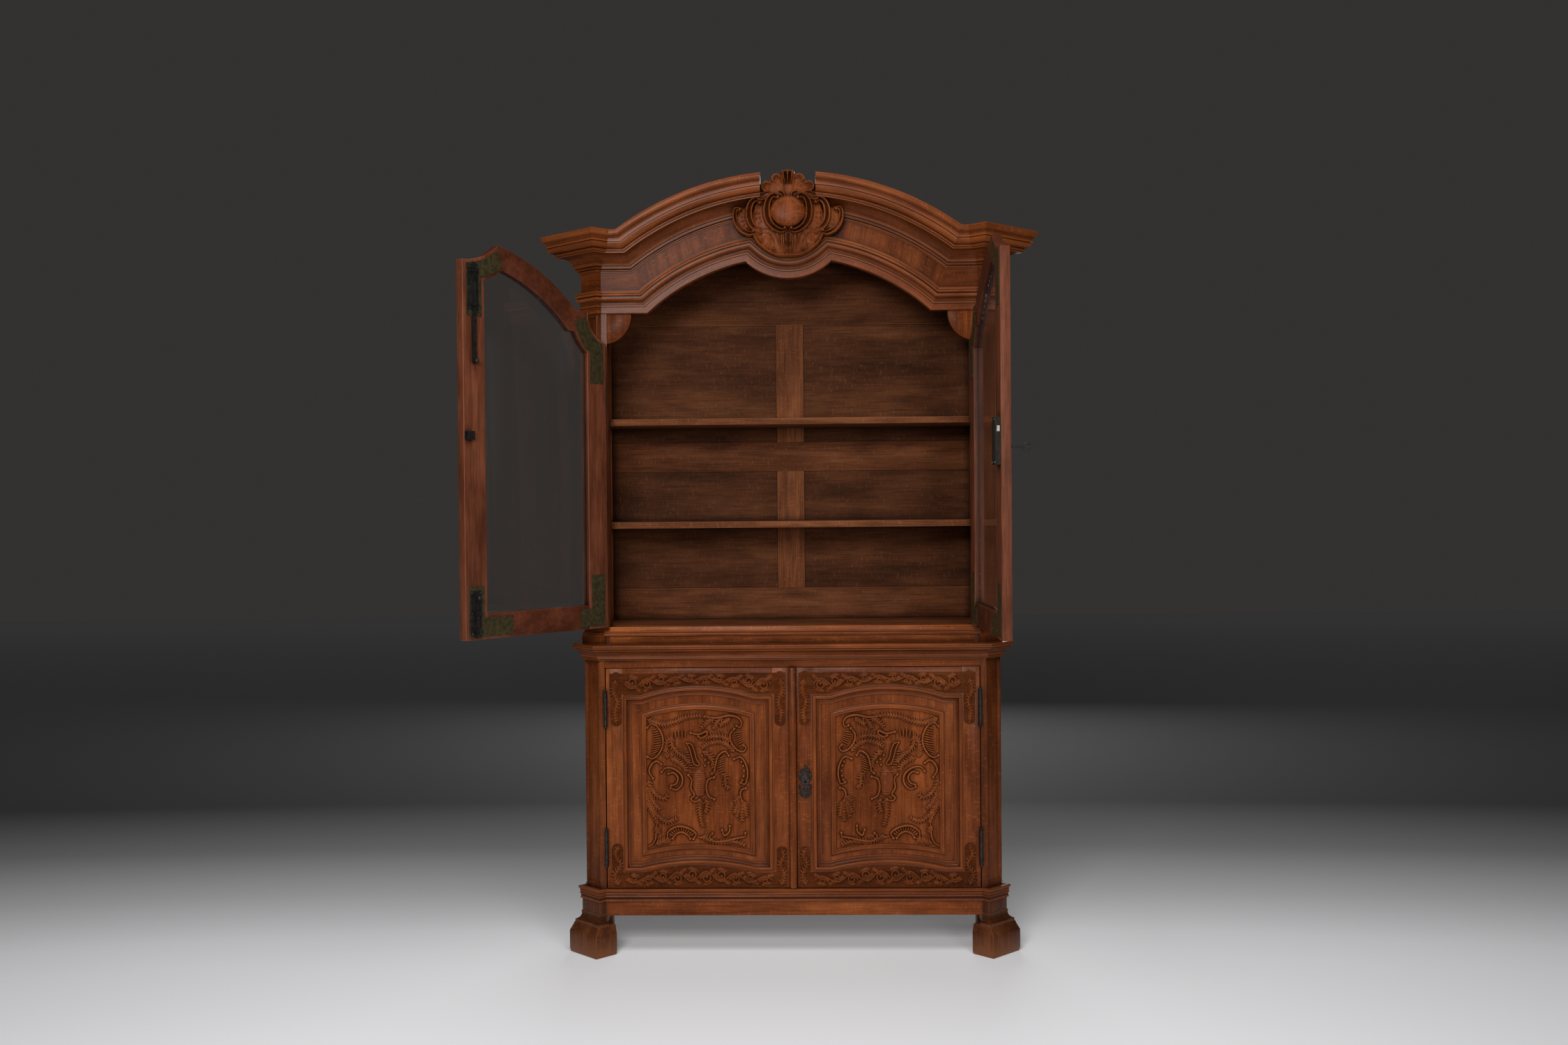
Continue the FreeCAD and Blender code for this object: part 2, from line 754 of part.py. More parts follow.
def crest():
    face = f"({FRONT} - architrave_proud)"
    front = f"({face} - crest_thick)"
    boss_z = f"({Z_CREST} + crest_boss_rise)"
    shell = level_rod("crest_shell_radius", front, face, "0", f"{Z_CREST} + crest_shell_rise")
    boss = ball("crest_boss_radius", "0", front, boss_z)
    rim_y = f"({front} - crest_frame_wire)"
    rim = level_rod("crest_frame_radius + crest_frame_wire", rim_y, face, "0", boss_z)
    hollow_y = f"({rim_y} - crest_frame_wire)"
    hollow = level_rod("crest_frame_radius - crest_frame_wire", hollow_y, front, "0", boss_z)
    leaf = [
        ("0", f"{Z_CREST} - crest_foot"),
        ("crest_leaf_half", f"{Z_CREST} + crest_scroll_rise"),
        ("-crest_leaf_half", f"{Z_CREST} + crest_scroll_rise"),
    ]
    pieces = [shell, boss, cut(rim, hollow), prism("XZ_Plane", leaf, front, face)]
    for side in SIDES:
        reach = f"{side} * crest_scroll_reach"
        scroll_z = f"({Z_CREST} + crest_scroll_rise)"
        pieces.append(level_rod("crest_scroll_radius", front, face, reach, scroll_z))
        arm = [
            ("0", f"{scroll_z} - crest_scroll_radius / 2"),
            ("crest_scroll_reach", f"{scroll_z} - crest_scroll_radius / 2"),
            ("crest_scroll_reach", f"{scroll_z} + crest_scroll_radius / 2"),
            ("0", boss_z),
        ]
        pieces.append(prism("XZ_Plane", sided(arm, side), front, face))
    node("crest", fuse(*pieces))


# Glazed doors, drawn shut and then hung open at their resting angle
HINGE_EDGE = "(opening_half - hinge_gap)"
HINGE_INNER = f"({HINGE_EDGE} - glazed_stile)"
MEETING_EDGE = "(meeting_gap / 2)"
MEETING_INNER = f"({MEETING_EDGE} + glazed_stile)"
HEAD = f"({Z_LINTEL} - door_gap)"
GLAZED_LOW_RAIL = f"({Z_GLAZED} + glazed_foot_rail)"
EAR_CHORD = "sqrt(ear_width^2 + ear_height^2)"
EAR_REACH = f"sqrt(ear_radius^2 - {EAR_CHORD}^2 / 4)"
EAR_X = f"(ear_width / 2 - opening_half - {EAR_REACH} * ear_height / {EAR_CHORD})"
EAR_Z = f"({Z_LINTEL} - ear_height / 2 + {EAR_REACH} * ear_width / {EAR_CHORD})"
EAR_OUTER = "(ear_radius + door_gap)"
EAR_INNER = "(ear_radius + door_gap + glazed_rail)"
ARCH_OUTER = "(arch_radius - door_gap)"
ARCH_INNER = "(arch_radius - door_gap - glazed_rail)"
PENDANT_OUTER = "(pendant_radius + door_gap)"
PENDANT_INNER = "(pendant_radius + door_gap + glazed_rail)"
RAIL_FOOT = f"({HEAD} - glazed_rail)"


def ear_z(radius, x):
    return f"({EAR_Z} - sqrt({radius}^2 - ({x} - {EAR_X})^2))"


def ear_x(radius, z):
    return f"({EAR_X} + sqrt({radius}^2 - ({z} - {EAR_Z})^2))"


def arch_x(radius, z):
    return f"(-sqrt({radius}^2 - ({z} - {Z_ARCH})^2))"


def pendant_z(radius, x):
    return f"({Z_PENDANT} - sqrt({radius}^2 - ({x})^2))"


def hang(piece, side):
    """Open a shut door's piece by its resting angle about its hinge pins."""
    angle = "left_open_angle" if side < 0 else "right_open_angle"
    hinge_x = "(opening_half + pin_offset)"
    piece.Placement = FreeCAD.Placement(FreeCAD.Vector(), FreeCAD.Rotation(FreeCAD.Vector(0, 0, side), 1))
    piece.setExpression("Placement.Rotation.Angle", bound(angle))
    swing_x = f"{side} * ({hinge_x} * (1 - cos({angle})) + {HINGE_Y} * sin({angle}))"
    swing_y = f"{HINGE_Y} * (1 - cos({angle})) - {hinge_x} * sin({angle})"
    piece.setExpression("Placement.Base.x", bound(swing_x))
    piece.setExpression("Placement.Base.y", bound(swing_y))


def glazed_frame(side, name):
    stile_top = ear_x(EAR_OUTER, HEAD)
    hinge_stile = [
        (f"-{HINGE_EDGE}", Z_GLAZED),
        (f"-{HINGE_INNER}", Z_GLAZED),
        (f"-{HINGE_INNER}", HEAD),
        (stile_top, HEAD, f"-{EAR_OUTER}"),
        (f"-{HINGE_EDGE}", ear_z(EAR_OUTER, f"(-{HINGE_EDGE})")),
    ]
    meeting_stile = [
        (f"-{MEETING_INNER}", Z_GLAZED),
        (f"-{MEETING_EDGE}", Z_GLAZED),
        (f"-{MEETING_EDGE}", pendant_z(PENDANT_OUTER, MEETING_EDGE), f"-{PENDANT_OUTER}"),
        (f"-{MEETING_INNER}", pendant_z(PENDANT_OUTER, MEETING_INNER)),
    ]
    outer_x, outer_z = crossing(ARCH_OUTER, PENDANT_OUTER)
    inner_x, inner_z = crossing(ARCH_INNER, PENDANT_INNER)
    lower_edge = [
        (f"-{HINGE_INNER}", ear_z(EAR_INNER, f"(-{HINGE_INNER})"), EAR_INNER),
        (ear_x(EAR_INNER, RAIL_FOOT), RAIL_FOOT),
        (arch_x(ARCH_INNER, RAIL_FOOT), RAIL_FOOT, f"-{ARCH_INNER}"),
        (f"-{inner_x}", inner_z, PENDANT_INNER),
    ]
    top_rail = lower_edge + [
        (f"-{MEETING_INNER}", pendant_z(PENDANT_INNER, MEETING_INNER)),
        (f"-{MEETING_INNER}", pendant_z(PENDANT_OUTER, MEETING_INNER), f"-{PENDANT_OUTER}"),
        (f"-{outer_x}", outer_z, ARCH_OUTER),
        (arch_x(ARCH_OUTER, HEAD), HEAD),
        (f"-{HINGE_INNER}", HEAD),
    ]
    opening = lower_edge + [
        (f"-{MEETING_INNER}", pendant_z(PENDANT_INNER, MEETING_INNER)),
        (f"-{MEETING_INNER}", GLAZED_LOW_RAIL),
        (f"-{HINGE_INNER}", GLAZED_LOW_RAIL),
    ]

    def slab(outline, low=GLAZED_FRONT, high=GLAZED_BACK):
        return prism("XZ_Plane", sided(outline, -side), low, high)

    meeting = slab(meeting_stile)
    if side > 0:
        reach = (f"{GLAZED_FRONT} - door_gap", f"{GLAZED_BACK} + door_gap")
        meeting = cut(meeting, level_rod("key_radius + key_clear", *reach, KEY_X, KEY_Z))
    thick = (GLAZED_FRONT, GLAZED_BACK)
    bottom_rail = board(span(side, MEETING_INNER, HINGE_INNER), thick, (Z_GLAZED, GLAZED_LOW_RAIL))
    pane = f"({GLAZED_FRONT} + glass_setback)"
    hang(node(f"{name}_glazed_stiles", slab(hinge_stile), meeting), side)
    hang(node(f"{name}_glazed_rails", slab(top_rail), bottom_rail), side)
    hang(node(f"{name}_glass", slab(opening, pane, f"{pane} + glass_thick")), side)


def corner_plates(side, name):
    """Flat angle plates let on to the inside of the door's four joints."""
    edge = f"({HINGE_EDGE} - plate_width)"
    foot = f"({Z_GLAZED} + plate_width)"
    peak = f"({crossing(ARCH_INNER, PENDANT_INNER)[1]} + plate_thick)"
    notch = f"({HINGE_INNER} + plate_width / 2)"
    corners = (
        ("plate_inset", foot, 1, 1, "plate_leg"),
        (edge, foot, -1, 1, "plate_leg"),
        ("plate_inset", f"({peak} + plate_width)", 1, -1, "plate_leg"),
        (notch, f"({RAIL_FOOT} + plate_width + plate_thick)", -1, -1, "(plate_leg - 2 * plate_width)"),
    )
    plates = []
    for x, z, across, up, leg in corners:
        outline = [
            (x, z),
            (f"{x} + {across} * plate_leg * 0.9", z),
            (f"{x} + {across} * plate_leg * 0.9", f"{z} + {up} * plate_width"),
            (f"{x} + {across} * plate_width", f"{z} + {up} * plate_width"),
            (f"{x} + {across} * plate_width", f"{z} + {up} * {leg}"),
            (x, f"{z} + {up} * {leg}"),
        ]
        plates.append(prism("XZ_Plane", sided(outline, side), GLAZED_BACK, f"{GLAZED_BACK} + plate_thick"))
    hang(node(f"{name}_corner_plates", *plates), side)


# Hinges: the lower knuckle and leaf stay on the post, the upper ones ride on the door
def knuckle(axis_x, bottom, top, *leaves):
    tube = rod("knuckle_radius", f"{top} - {bottom}", axis_x, HINGE_Y, bottom)
    bore = rod("pin_radius + pin_clear", f"{top} - {bottom}", axis_x, HINGE_Y, bottom)
    return fuse(cut(tube, bore), *(board(*leaf, (bottom, top)) for leaf in leaves))


def hinge_pin(axis_x, low, high):
    foot = f"({low} - finial_radius)"
    head = f"({high} + finial_radius + hinge_clear)"
    shank = rod("pin_radius", f"{head} - {foot}", axis_x, HINGE_Y, foot)
    return fuse(shank, *(ball("finial_radius", axis_x, HINGE_Y, z) for z in (foot, head)))


def cupboard_leaves(side):
    """Leaves in the joint between the post and a flush door, as bounds in x and y."""
    outer, inner = "cupboard_half", "(cupboard_half - hinge_gap)"
    leaf_y = (f"{HINGE_Y} + (pin_radius + knuckle_radius) / 2", f"{FRONT} + leaf_depth")
    fixed = (span(side, f"{outer} - leaf_thick", outer), leaf_y)
    moving = (span(side, inner, f"{inner} + leaf_thick"), leaf_y)
    return [fixed], [moving]


def glazed_leaves(side):
    """Leaf on the face of the post; leaf on the edge of the proud door with a web to its knuckle."""
    pin_x = "(opening_half + pin_offset)"
    inner = "(opening_half - hinge_gap)"
    plate_x = span(side, "opening_half + leaf_thick", f"{pin_x} + knuckle_radius + leaf_thick")
    edge_y = (f"{GLAZED_FRONT} + leaf_thick", f"{GLAZED_BACK} - leaf_thick")
    web_x = span(side, inner, f"{pin_x} - (pin_radius + knuckle_radius) / 2")
    web_y = (f"{HINGE_Y} - leaf_thick / 2", f"{HINGE_Y} + leaf_thick / 2")
    fixed = (plate_x, (f"{FRONT} - leaf_thick", FRONT))
    return [fixed], [(span(side, inner, f"{inner} + leaf_thick"), edge_y), (web_x, web_y)]


def hinges():
    glazed_low = f"({Z_GLAZED} + glazed_hinge_inset)"
    glazed_high = f"({Z_LINTEL} - ear_height - glazed_hinge_inset)"
    cupboard_low = f"({Z_CUPBOARD} + cupboard_hinge_inset)"
    cupboard_high = f"({Z_CUPBOARD_TOP} - cupboard_hinge_inset)"
    glazed = ("(opening_half + pin_offset)", "glazed_hinge_length", (glazed_low, glazed_high))
    cupboard = ("(cupboard_half - hinge_gap / 2)", "cupboard_hinge_length", (cupboard_low, cupboard_high))
    kinds = (("glazed", glazed_leaves, *glazed), ("cupboard", cupboard_leaves, *cupboard))
    fixed, pins = [], []
    for kind, leaves, hinge_x, length, heights in kinds:
        for side, name in ((-1, "left"), (1, "right")):
            axis_x = f"{side} * {hinge_x}"
            post_leaves, door_leaves = leaves(side)
            riding = []
            for middle in heights:
                low, high = f"({middle} - {length} / 2)", f"({middle} + {length} / 2)"
                fixed.append(knuckle(axis_x, low, f"({middle} - hinge_clear / 2)", *post_leaves))
                riding.append(knuckle(axis_x, f"({middle} + hinge_clear / 2)", high, *door_leaves))
                pins.append(hinge_pin(axis_x, low, high))
            if kind == "cupboard" and side < 0:
                riding.append(lock_keeper(DOOR_BACK, "(astragal_width / 2 - lock_edge)", CUPBOARD_LOCK_Z))
            ironwork = node(f"{name}_{kind}_ironwork", *riding)
            if kind == "glazed":
                hang(ironwork, side)
    node("frame_hinge_leaves", *fixed)
    node("hinge_pins", *pins)


# Long bolts of the left glazed door
BAR_LOW_Y = f"({GLAZED_BACK} + bolt_plate_thick + bolt_clear)"
BAR_HIGH_Y = f"({BAR_LOW_Y} + bolt_thick)"
BOLT_TOP = f"({Z_LINTEL} + pendant_rise - door_gap - bolt_retreat)"
BOLT_FOOT = f"({Z_GLAZED} + bolt_retreat)"


def around(middle, width):
    return f"{middle} - ({width}) / 2", f"{middle} + ({width}) / 2"


def bolt_notch(low, high):
    """Notch in the back of a rail that takes the end of a bolt."""
    y = (f"{BAR_LOW_Y} - 2 * bolt_clear", f"{FRAME_BACK} + door_gap")
    return board(around("-bolt_inset", "bolt_width + 4 * bolt_clear"), y, (low, high))


def bolt_bore(low, high):
    y = (f"{BAR_LOW_Y} - bolt_clear", f"{BAR_HIGH_Y} + bolt_clear")
    return board(around("-bolt_inset", "bolt_width + 2 * bolt_clear"), y, (low, high))


def bolt_guide(plate_low, staples):
    plate_y = (GLAZED_BACK, f"{GLAZED_BACK} + bolt_plate_thick")
    plate_z = (plate_low, f"{plate_low} + bolt_plate_height")
    pieces = [board(around("-bolt_inset", "bolt_plate_width"), plate_y, plate_z)]
    for low in staples:
        high = f"({low} + guide_height)"
        y = (plate_y[1], f"{plate_y[1]} + guide_thick")
        staple = board(around("-bolt_inset", "guide_width"), y, (low, high))
        pieces.append(cut(staple, bolt_bore(low, high)))
    return fuse(*pieces)


def bolt_bar(low, length, knob_z):
    bar = board(around("-bolt_inset", "bolt_width"), (BAR_LOW_Y, BAR_HIGH_Y), (low, f"{low} + {length}"))
    return fuse(bar, ball("knob_radius", "-bolt_inset", f"{BAR_HIGH_Y} + knob_radius * 0.7", knob_z))


def long_bolts():
    top_plate = f"({BOLT_TOP} - bolt_retreat - bolt_plate_height)"
    foot_plate = f"({BOLT_FOOT} + bolt_retreat)"
    upper = (f"({top_plate} + guide_inset)", f"({BOLT_TOP} - bolt_retreat - guide_inset - guide_height)")
    lower = (f"({foot_plate} + guide_inset)", f"({foot_plate} + bolt_plate_height / 2 - guide_height / 2)")
    strike = lock_keeper(GLAZED_BACK, "(-meeting_gap / 2 - lock_edge)", LOCK_Z)
    guides = bolt_guide(top_plate, upper), bolt_guide(foot_plate, lower)
    hang(node("left_bolt_guides", *guides, strike), -1)
    top_low = f"({BOLT_TOP} - bolt_top_length)"
    hang(node("top_bolt", bolt_bar(top_low, "bolt_top_length", f"{top_low} + knob_radius")), -1)
    foot_knob = f"{BOLT_FOOT} + bolt_foot_length - knob_radius"
    hang(node("bottom_bolt", bolt_bar(BOLT_FOOT, "bolt_foot_length", foot_knob)), -1)
    keeper_low = pendant_z("pendant_radius", "bolt_inset + keeper_width / 2")
    keeper_z = (keeper_low, f"{keeper_low} + keeper_height")
    keeper_y = (FRAME_BACK, f"{FRAME_BACK} + bolt_plate_thick")
    node("top_bolt_keeper", board(around("-bolt_inset", "keeper_width"), keeper_y, keeper_z))


# Locks of the right-hand doors
LOCK_Z = f"({Z_GLAZED} + lock_rise)"
KEY_X = "(meeting_gap / 2 + key_inset)"
KEY_Z = f"({LOCK_Z} - key_drop)"
CUPBOARD_MEETING = "(astragal_width / 2 + door_gap)"
CUPBOARD_LOCK_Z = f"({Z_CUPBOARD} + cupboard_lock_rise)"
CUPBOARD_KEY_X = f"(({CUPBOARD_MEETING} + panel_inset) / 2)"


def lock_bolt_y(face):
    return f"({face} + 2 * lock_wall)", f"({face} + 2 * lock_wall + bolt_thick)"


def lock_slot(face, x, z):
    """Passage for a lock bolt with its clearance all round."""
    bolt_y = lock_bolt_y(face)
    y = (f"{bolt_y[0]} - bolt_clear", f"{bolt_y[1]} + bolt_clear")
    low = f"({z} + lock_bolt_lift - bolt_clear)"
    return board(x, y, (low, f"{low} + lock_bolt_height + 2 * bolt_clear"))


def lock_case(face, edge, width, z):
    outer_z = around(z, "lock_height")
    outer = board((edge, f"{edge} + {width}"), (face, f"{face} + lock_depth"), outer_z)
    room_x = (f"{edge} + lock_wall", f"{edge} + {width} - lock_wall")
    room_y = (f"{face} - lock_wall", f"{face} + lock_depth - lock_wall")
    room = board(room_x, room_y, around(z, "lock_height - 2 * lock_wall"))
    return cut(outer, room, lock_slot(face, (f"{edge} - lock_wall", f"{edge} + 2 * lock_wall"), z))


def lock_bolt(face, edge, z):
    low = f"({z} + lock_bolt_lift)"
    return board((edge, f"{edge} + lock_bolt_length"), lock_bolt_y(face), (low, f"{low} + lock_bolt_height"))


def lock_keeper(face, edge, z):
    """Staple on the left door that receives the lock bolt."""
    x = (f"{edge} - keeper_width", edge)
    y = (face, f"{lock_bolt_y(face)[1]} + bolt_clear + 2 * lock_wall")
    low = f"({z} + lock_bolt_lift - 3 * lock_wall)"
    staple = board(x, y, (low, f"{low} + lock_bolt_height + 6 * lock_wall"))
    return cut(staple, lock_slot(face, (f"{edge} - keeper_width - lock_wall", f"{edge} + lock_wall"), z))


def glazed_lock():
    edge = "(meeting_gap / 2 + lock_edge)"
    hang(node("lock_case", lock_case(GLAZED_BACK, edge, "lock_width", LOCK_Z)), 1)
    hang(node("lock_bolt", lock_bolt(GLAZED_BACK, edge, LOCK_Z)), 1)
    tip = f"{GLAZED_FRONT} - key_reach"
    shank = level_rod("key_radius", tip, f"{GLAZED_BACK} + lock_depth - 2 * lock_wall", KEY_X, KEY_Z)
    bow = doc.addObject("Part::Torus", "Bow")
    bow.setExpression("Radius1", bound("key_bow_radius"))
    bow.setExpression("Radius2", bound("key_bow_wire"))
    turn(place(bow, KEY_X, f"{tip} - key_bow_radius", KEY_Z), (0, 1, 0), 90)
    bolt_y = lock_bolt_y(GLAZED_BACK)
    bit_y = (bolt_y[0], f"{bolt_y[0]} + key_bit_width")
    bit = board(around(KEY_X, "key_radius"), bit_y, (f"{KEY_Z} - key_bit_height", KEY_Z))
    hang(node("key", fuse(shank, bow, bit)), 1)


# Cupboard doors
PANEL_OUTER = "(cupboard_half - hinge_gap - cupboard_stile)"
PANEL_LOW = f"({Z_CUPBOARD} + cupboard_bottom_rail)"
PANEL_HIGH = f"({Z_CUPBOARD_TOP} - cupboard_top_rail - panel_arch_rise)"


def rise_radius(width, rise):
    """Radius of the arc that rises by a given amount over a width."""
    return f"((({width}) / 2)^2 + {rise}^2) / (2 * {rise})"


def cupboard_frame(side, name):
    high_edge = "(cupboard_half - hinge_gap)"
    meeting = ("-panel_inset", "astragal_width / 2") if side < 0 else (CUPBOARD_MEETING, "panel_inset")
    thick = (FRONT, DOOR_BACK)
    tall = (Z_CUPBOARD, Z_CUPBOARD_TOP)
    hinge_stile = board(span(side, PANEL_OUTER, high_edge), thick, tall)
    meeting_stile = board(meeting, thick, tall)
    if side > 0:
        meeting_stile = cut(meeting_stile, keyhole())
    left, right = "panel_inset + panel_shoulder", f"{PANEL_OUTER} - panel_shoulder"
    width = f"{PANEL_OUTER} - panel_inset - 2 * panel_shoulder"
    high_arc = rise_radius(width, "panel_arch_rise")
    low_arc = rise_radius(width, "panel_foot_rise")
    top_rail = [
        ("panel_inset", Z_CUPBOARD_TOP),
        ("panel_inset", PANEL_HIGH),
        (left, PANEL_HIGH, f"-({high_arc})"),
        (right, PANEL_HIGH),
        (PANEL_OUTER, PANEL_HIGH),
        (PANEL_OUTER, Z_CUPBOARD_TOP),
    ]
    bottom_rail = [
        ("panel_inset", Z_CUPBOARD),
        (PANEL_OUTER, Z_CUPBOARD),
        (PANEL_OUTER, PANEL_LOW),
        (right, PANEL_LOW, low_arc),
        (left, PANEL_LOW),
        ("panel_inset", PANEL_LOW),
    ]
    rails = [prism("XZ_Plane", sided(outline, side), *thick) for outline in (top_rail, bottom_rail)]
    node(f"{name}_cupboard_stiles", hinge_stile, meeting_stile)
    node(f"{name}_cupboard_rails", *rails)
    panel = [
        ("panel_inset", PANEL_LOW),
        (left, PANEL_LOW, f"-({low_arc})"),
        (right, PANEL_LOW),
        (PANEL_OUTER, PANEL_LOW),
        (PANEL_OUTER, PANEL_HIGH),
        (right, PANEL_HIGH, high_arc),
        (left, PANEL_HIGH),
        ("panel_inset", PANEL_HIGH),
    ]
    field_left, field_right = "panel_inset + field_margin", f"{PANEL_OUTER} - field_margin"
    field_low, field_high = f"{PANEL_LOW} + field_foot", f"{PANEL_HIGH} - field_margin"
    field_width = f"{PANEL_OUTER} - panel_inset - 2 * field_margin"
    field = [
        (field_left, field_low, f"-({rise_radius(field_width, 'panel_foot_rise')})"),
        (field_right, field_low),
        (field_right, field_high, rise_radius(field_width, "panel_arch_rise")),
        (field_left, field_high),
    ]
    face = f"({FRONT} + panel_setback)"
    sunk = prism("XZ_Plane", sided(panel, side), face, f"{face} + panel_thick")
    raised = prism("XZ_Plane", sided(field, side), f"{face} - field_thick", face)
    node(f"{name}_cupboard_panel", fuse(sunk, raised))


def astragal():
    half = "astragal_width / 2"
    foot = f"{FRONT} - astragal_proud / 3"
    outline = [
        (f"-{half}", FRONT),
        (half, FRONT),
        (half, foot, "-astragal_width * 0.55"),
        (f"-{half}", foot),
    ]
    node("astragal", prism("XY_Plane", outline, Z_CUPBOARD, Z_CUPBOARD_TOP))


def keyhole():
    reach = (f"{FRONT} - 2 * escutcheon_thick", f"{DOOR_BACK} + door_gap")
    return level_rod("keyhole_radius", *reach, CUPBOARD_KEY_X, CUPBOARD_LOCK_Z)


def cupboard_lock():
    edge = f"({CUPBOARD_MEETING} + lock_edge)"
    node("cupboard_lock_case", lock_case(DOOR_BACK, edge, "cupboard_lock_width", CUPBOARD_LOCK_Z))
    node("cupboard_lock_bolt", lock_bolt(DOOR_BACK, edge, CUPBOARD_LOCK_Z))
    plate_y = (f"{FRONT} - escutcheon_thick", FRONT)
    plate_z = around(CUPBOARD_LOCK_Z, "escutcheon_height")
    plate = board(around(CUPBOARD_KEY_X, "escutcheon_width"), plate_y, plate_z)
    node("escutcheon", cut(plate, keyhole()))


def build():
    front_feet()
    lower_carcass()
    base_moulding()
    side_frames()
    waist()
    upper_carcass()
    shelves()
    framed_back()
    arch_header()
    architrave()
    cornice()
    crest()
    hinges()
    for side, name in ((-1, "left"), (1, "right")):
        glazed_frame(side, name)
        corner_plates(side, name)
        cupboard_frame(side, name)
    long_bolts()
    glazed_lock()
    astragal()
    cupboard_lock()


def write_parts():
    doc.recompute()
    for item in doc.Objects:
        if "Invalid" in item.State or "Error" in item.State:
            raise RuntimeError(f"{item.Label} ({item.Name}) failed: {item.State}")
    for piece in nodes:
        if piece.Shape.isNull() or not piece.Shape.isValid() or not piece.Shape.Solids:
            raise RuntimeError(f"{piece.Label} has no valid solid")
    os.makedirs("parts", exist_ok=True)
    for piece in nodes:
        solids = piece.Shape.Solids
        shape = solids[0] if len(solids) == 1 else piece.Shape
        shape.exportStep(f"parts/{piece.Label}.step")
        print(f"{piece.Label}: {len(solids)} solids, {piece.Shape.Volume / 1000:.0f} cm3")


build()
write_parts()
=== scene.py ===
import json
import math
from contextlib import contextmanager
from functools import partial
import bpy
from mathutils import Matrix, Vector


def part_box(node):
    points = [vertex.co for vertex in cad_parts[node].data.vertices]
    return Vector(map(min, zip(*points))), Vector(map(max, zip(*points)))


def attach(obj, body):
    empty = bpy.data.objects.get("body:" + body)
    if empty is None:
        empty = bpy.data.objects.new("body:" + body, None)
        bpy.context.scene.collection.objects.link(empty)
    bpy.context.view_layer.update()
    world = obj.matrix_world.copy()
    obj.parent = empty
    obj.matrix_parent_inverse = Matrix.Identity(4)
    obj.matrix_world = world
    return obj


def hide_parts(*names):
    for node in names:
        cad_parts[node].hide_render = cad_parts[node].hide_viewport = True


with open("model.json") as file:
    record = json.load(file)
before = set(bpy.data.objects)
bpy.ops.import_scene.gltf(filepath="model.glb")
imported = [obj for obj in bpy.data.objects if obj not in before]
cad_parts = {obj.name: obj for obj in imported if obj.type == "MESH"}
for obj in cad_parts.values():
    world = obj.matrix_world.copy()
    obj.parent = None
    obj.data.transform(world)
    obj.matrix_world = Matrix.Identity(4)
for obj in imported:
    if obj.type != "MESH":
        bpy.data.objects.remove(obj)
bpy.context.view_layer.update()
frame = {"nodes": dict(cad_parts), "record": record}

from types import SimpleNamespace

import bmesh
import bpy
import numpy as np
from mathutils import Matrix, Vector

nodes = frame["nodes"]
scene = bpy.context.scene

# Levels and planes of the cabinet, in metres, read from its solids
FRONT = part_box("base_rail")[0].y
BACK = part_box("waist_board")[1].y
LOWER_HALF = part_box("waist_board")[1].x
UPPER_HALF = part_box("roof_board")[1].x
OPENING_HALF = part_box("plinth_rail")[1].x
CUPBOARD_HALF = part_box("base_rail")[1].x
BASE_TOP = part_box("base_rail")[1].z
WAIST_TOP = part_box("waist_board")[1].z
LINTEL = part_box("arch_ears")[1].z
POST_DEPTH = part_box("lower_corner_posts")[1].y


# Nodes and objects
def plug(tree, socket, source):
    """Feed a socket from another node, or set it to a plain value."""
    if isinstance(source, bpy.types.NodeSocket):
        tree.links.new(source, socket)
    else:
        socket.default_value = source


def add_node(tree, kind, links=(), **values):
    made = tree.nodes.new(kind)
    for key, value in values.items():
        setattr(made, key, value)
    for socket, source in dict(links).items():
        plug(tree, made.inputs[socket], source)
    return made


def rule_tree(name, inputs, output):
    """An empty node tree with named inputs, and a shorthand that adds nodes to it."""
    tree = bpy.data.node_groups.new(name, "GeometryNodeTree")
    for label, kind in inputs:
        tree.interface.new_socket(label, in_out="INPUT", socket_type=f"NodeSocket{kind}")
    tree.interface.new_socket(output, in_out="OUTPUT", socket_type="NodeSocketGeometry")
    return tree, partial(add_node, tree)


def close_rule(add, body, finish, output):
    """The last nodes of a tree: real meshes with their finish."""
    body = add("GeometryNodeRealizeInstances", {"Geometry": body}).outputs[0]
    body = add("GeometryNodeSetMaterial", {"Geometry": body, "Material": finish}).outputs[0]
    add("NodeGroupOutput", {output: body})


def placed(name, data):
    """A new object in the scene that shows this mesh, lamp or camera."""
    item = bpy.data.objects.new(name, data)
    scene.collection.objects.link(item)
    return item


def shaped(name, work):
    """A new object from a finished bmesh."""
    mesh = bpy.data.meshes.new(name)
    work.to_mesh(mesh)
    work.free()
    return placed(name, mesh)


@contextmanager
def reshaping(mesh):
    """A bmesh of this mesh, which is written back at the end."""
    work = bmesh.new()
    work.from_mesh(mesh)
    yield work
    work.to_mesh(mesh)
    work.free()


def close_ends(work):
    """Fill what is open and turn the faces outwards."""
    rims = [edge for edge in work.edges if edge.is_boundary]
    if rims:
        bmesh.ops.holes_fill(work, edges=rims, sides=0)
    bmesh.ops.recalc_face_normals(work, faces=work.faces)


def corners_of(made):
    """The vertices among the new elements of a bmesh."""
    return [part for part in made["geom"] if isinstance(part, bmesh.types.BMVert)]


def walls(low, high):
    """Corners of the faces between two rings of points."""
    return zip(low, low[1:] + low[:1], high[1:] + high[:1], high)


def cut_wide_faces(work):
    bmesh.ops.triangulate(work, faces=[face for face in work.faces if len(face.verts) > 4])


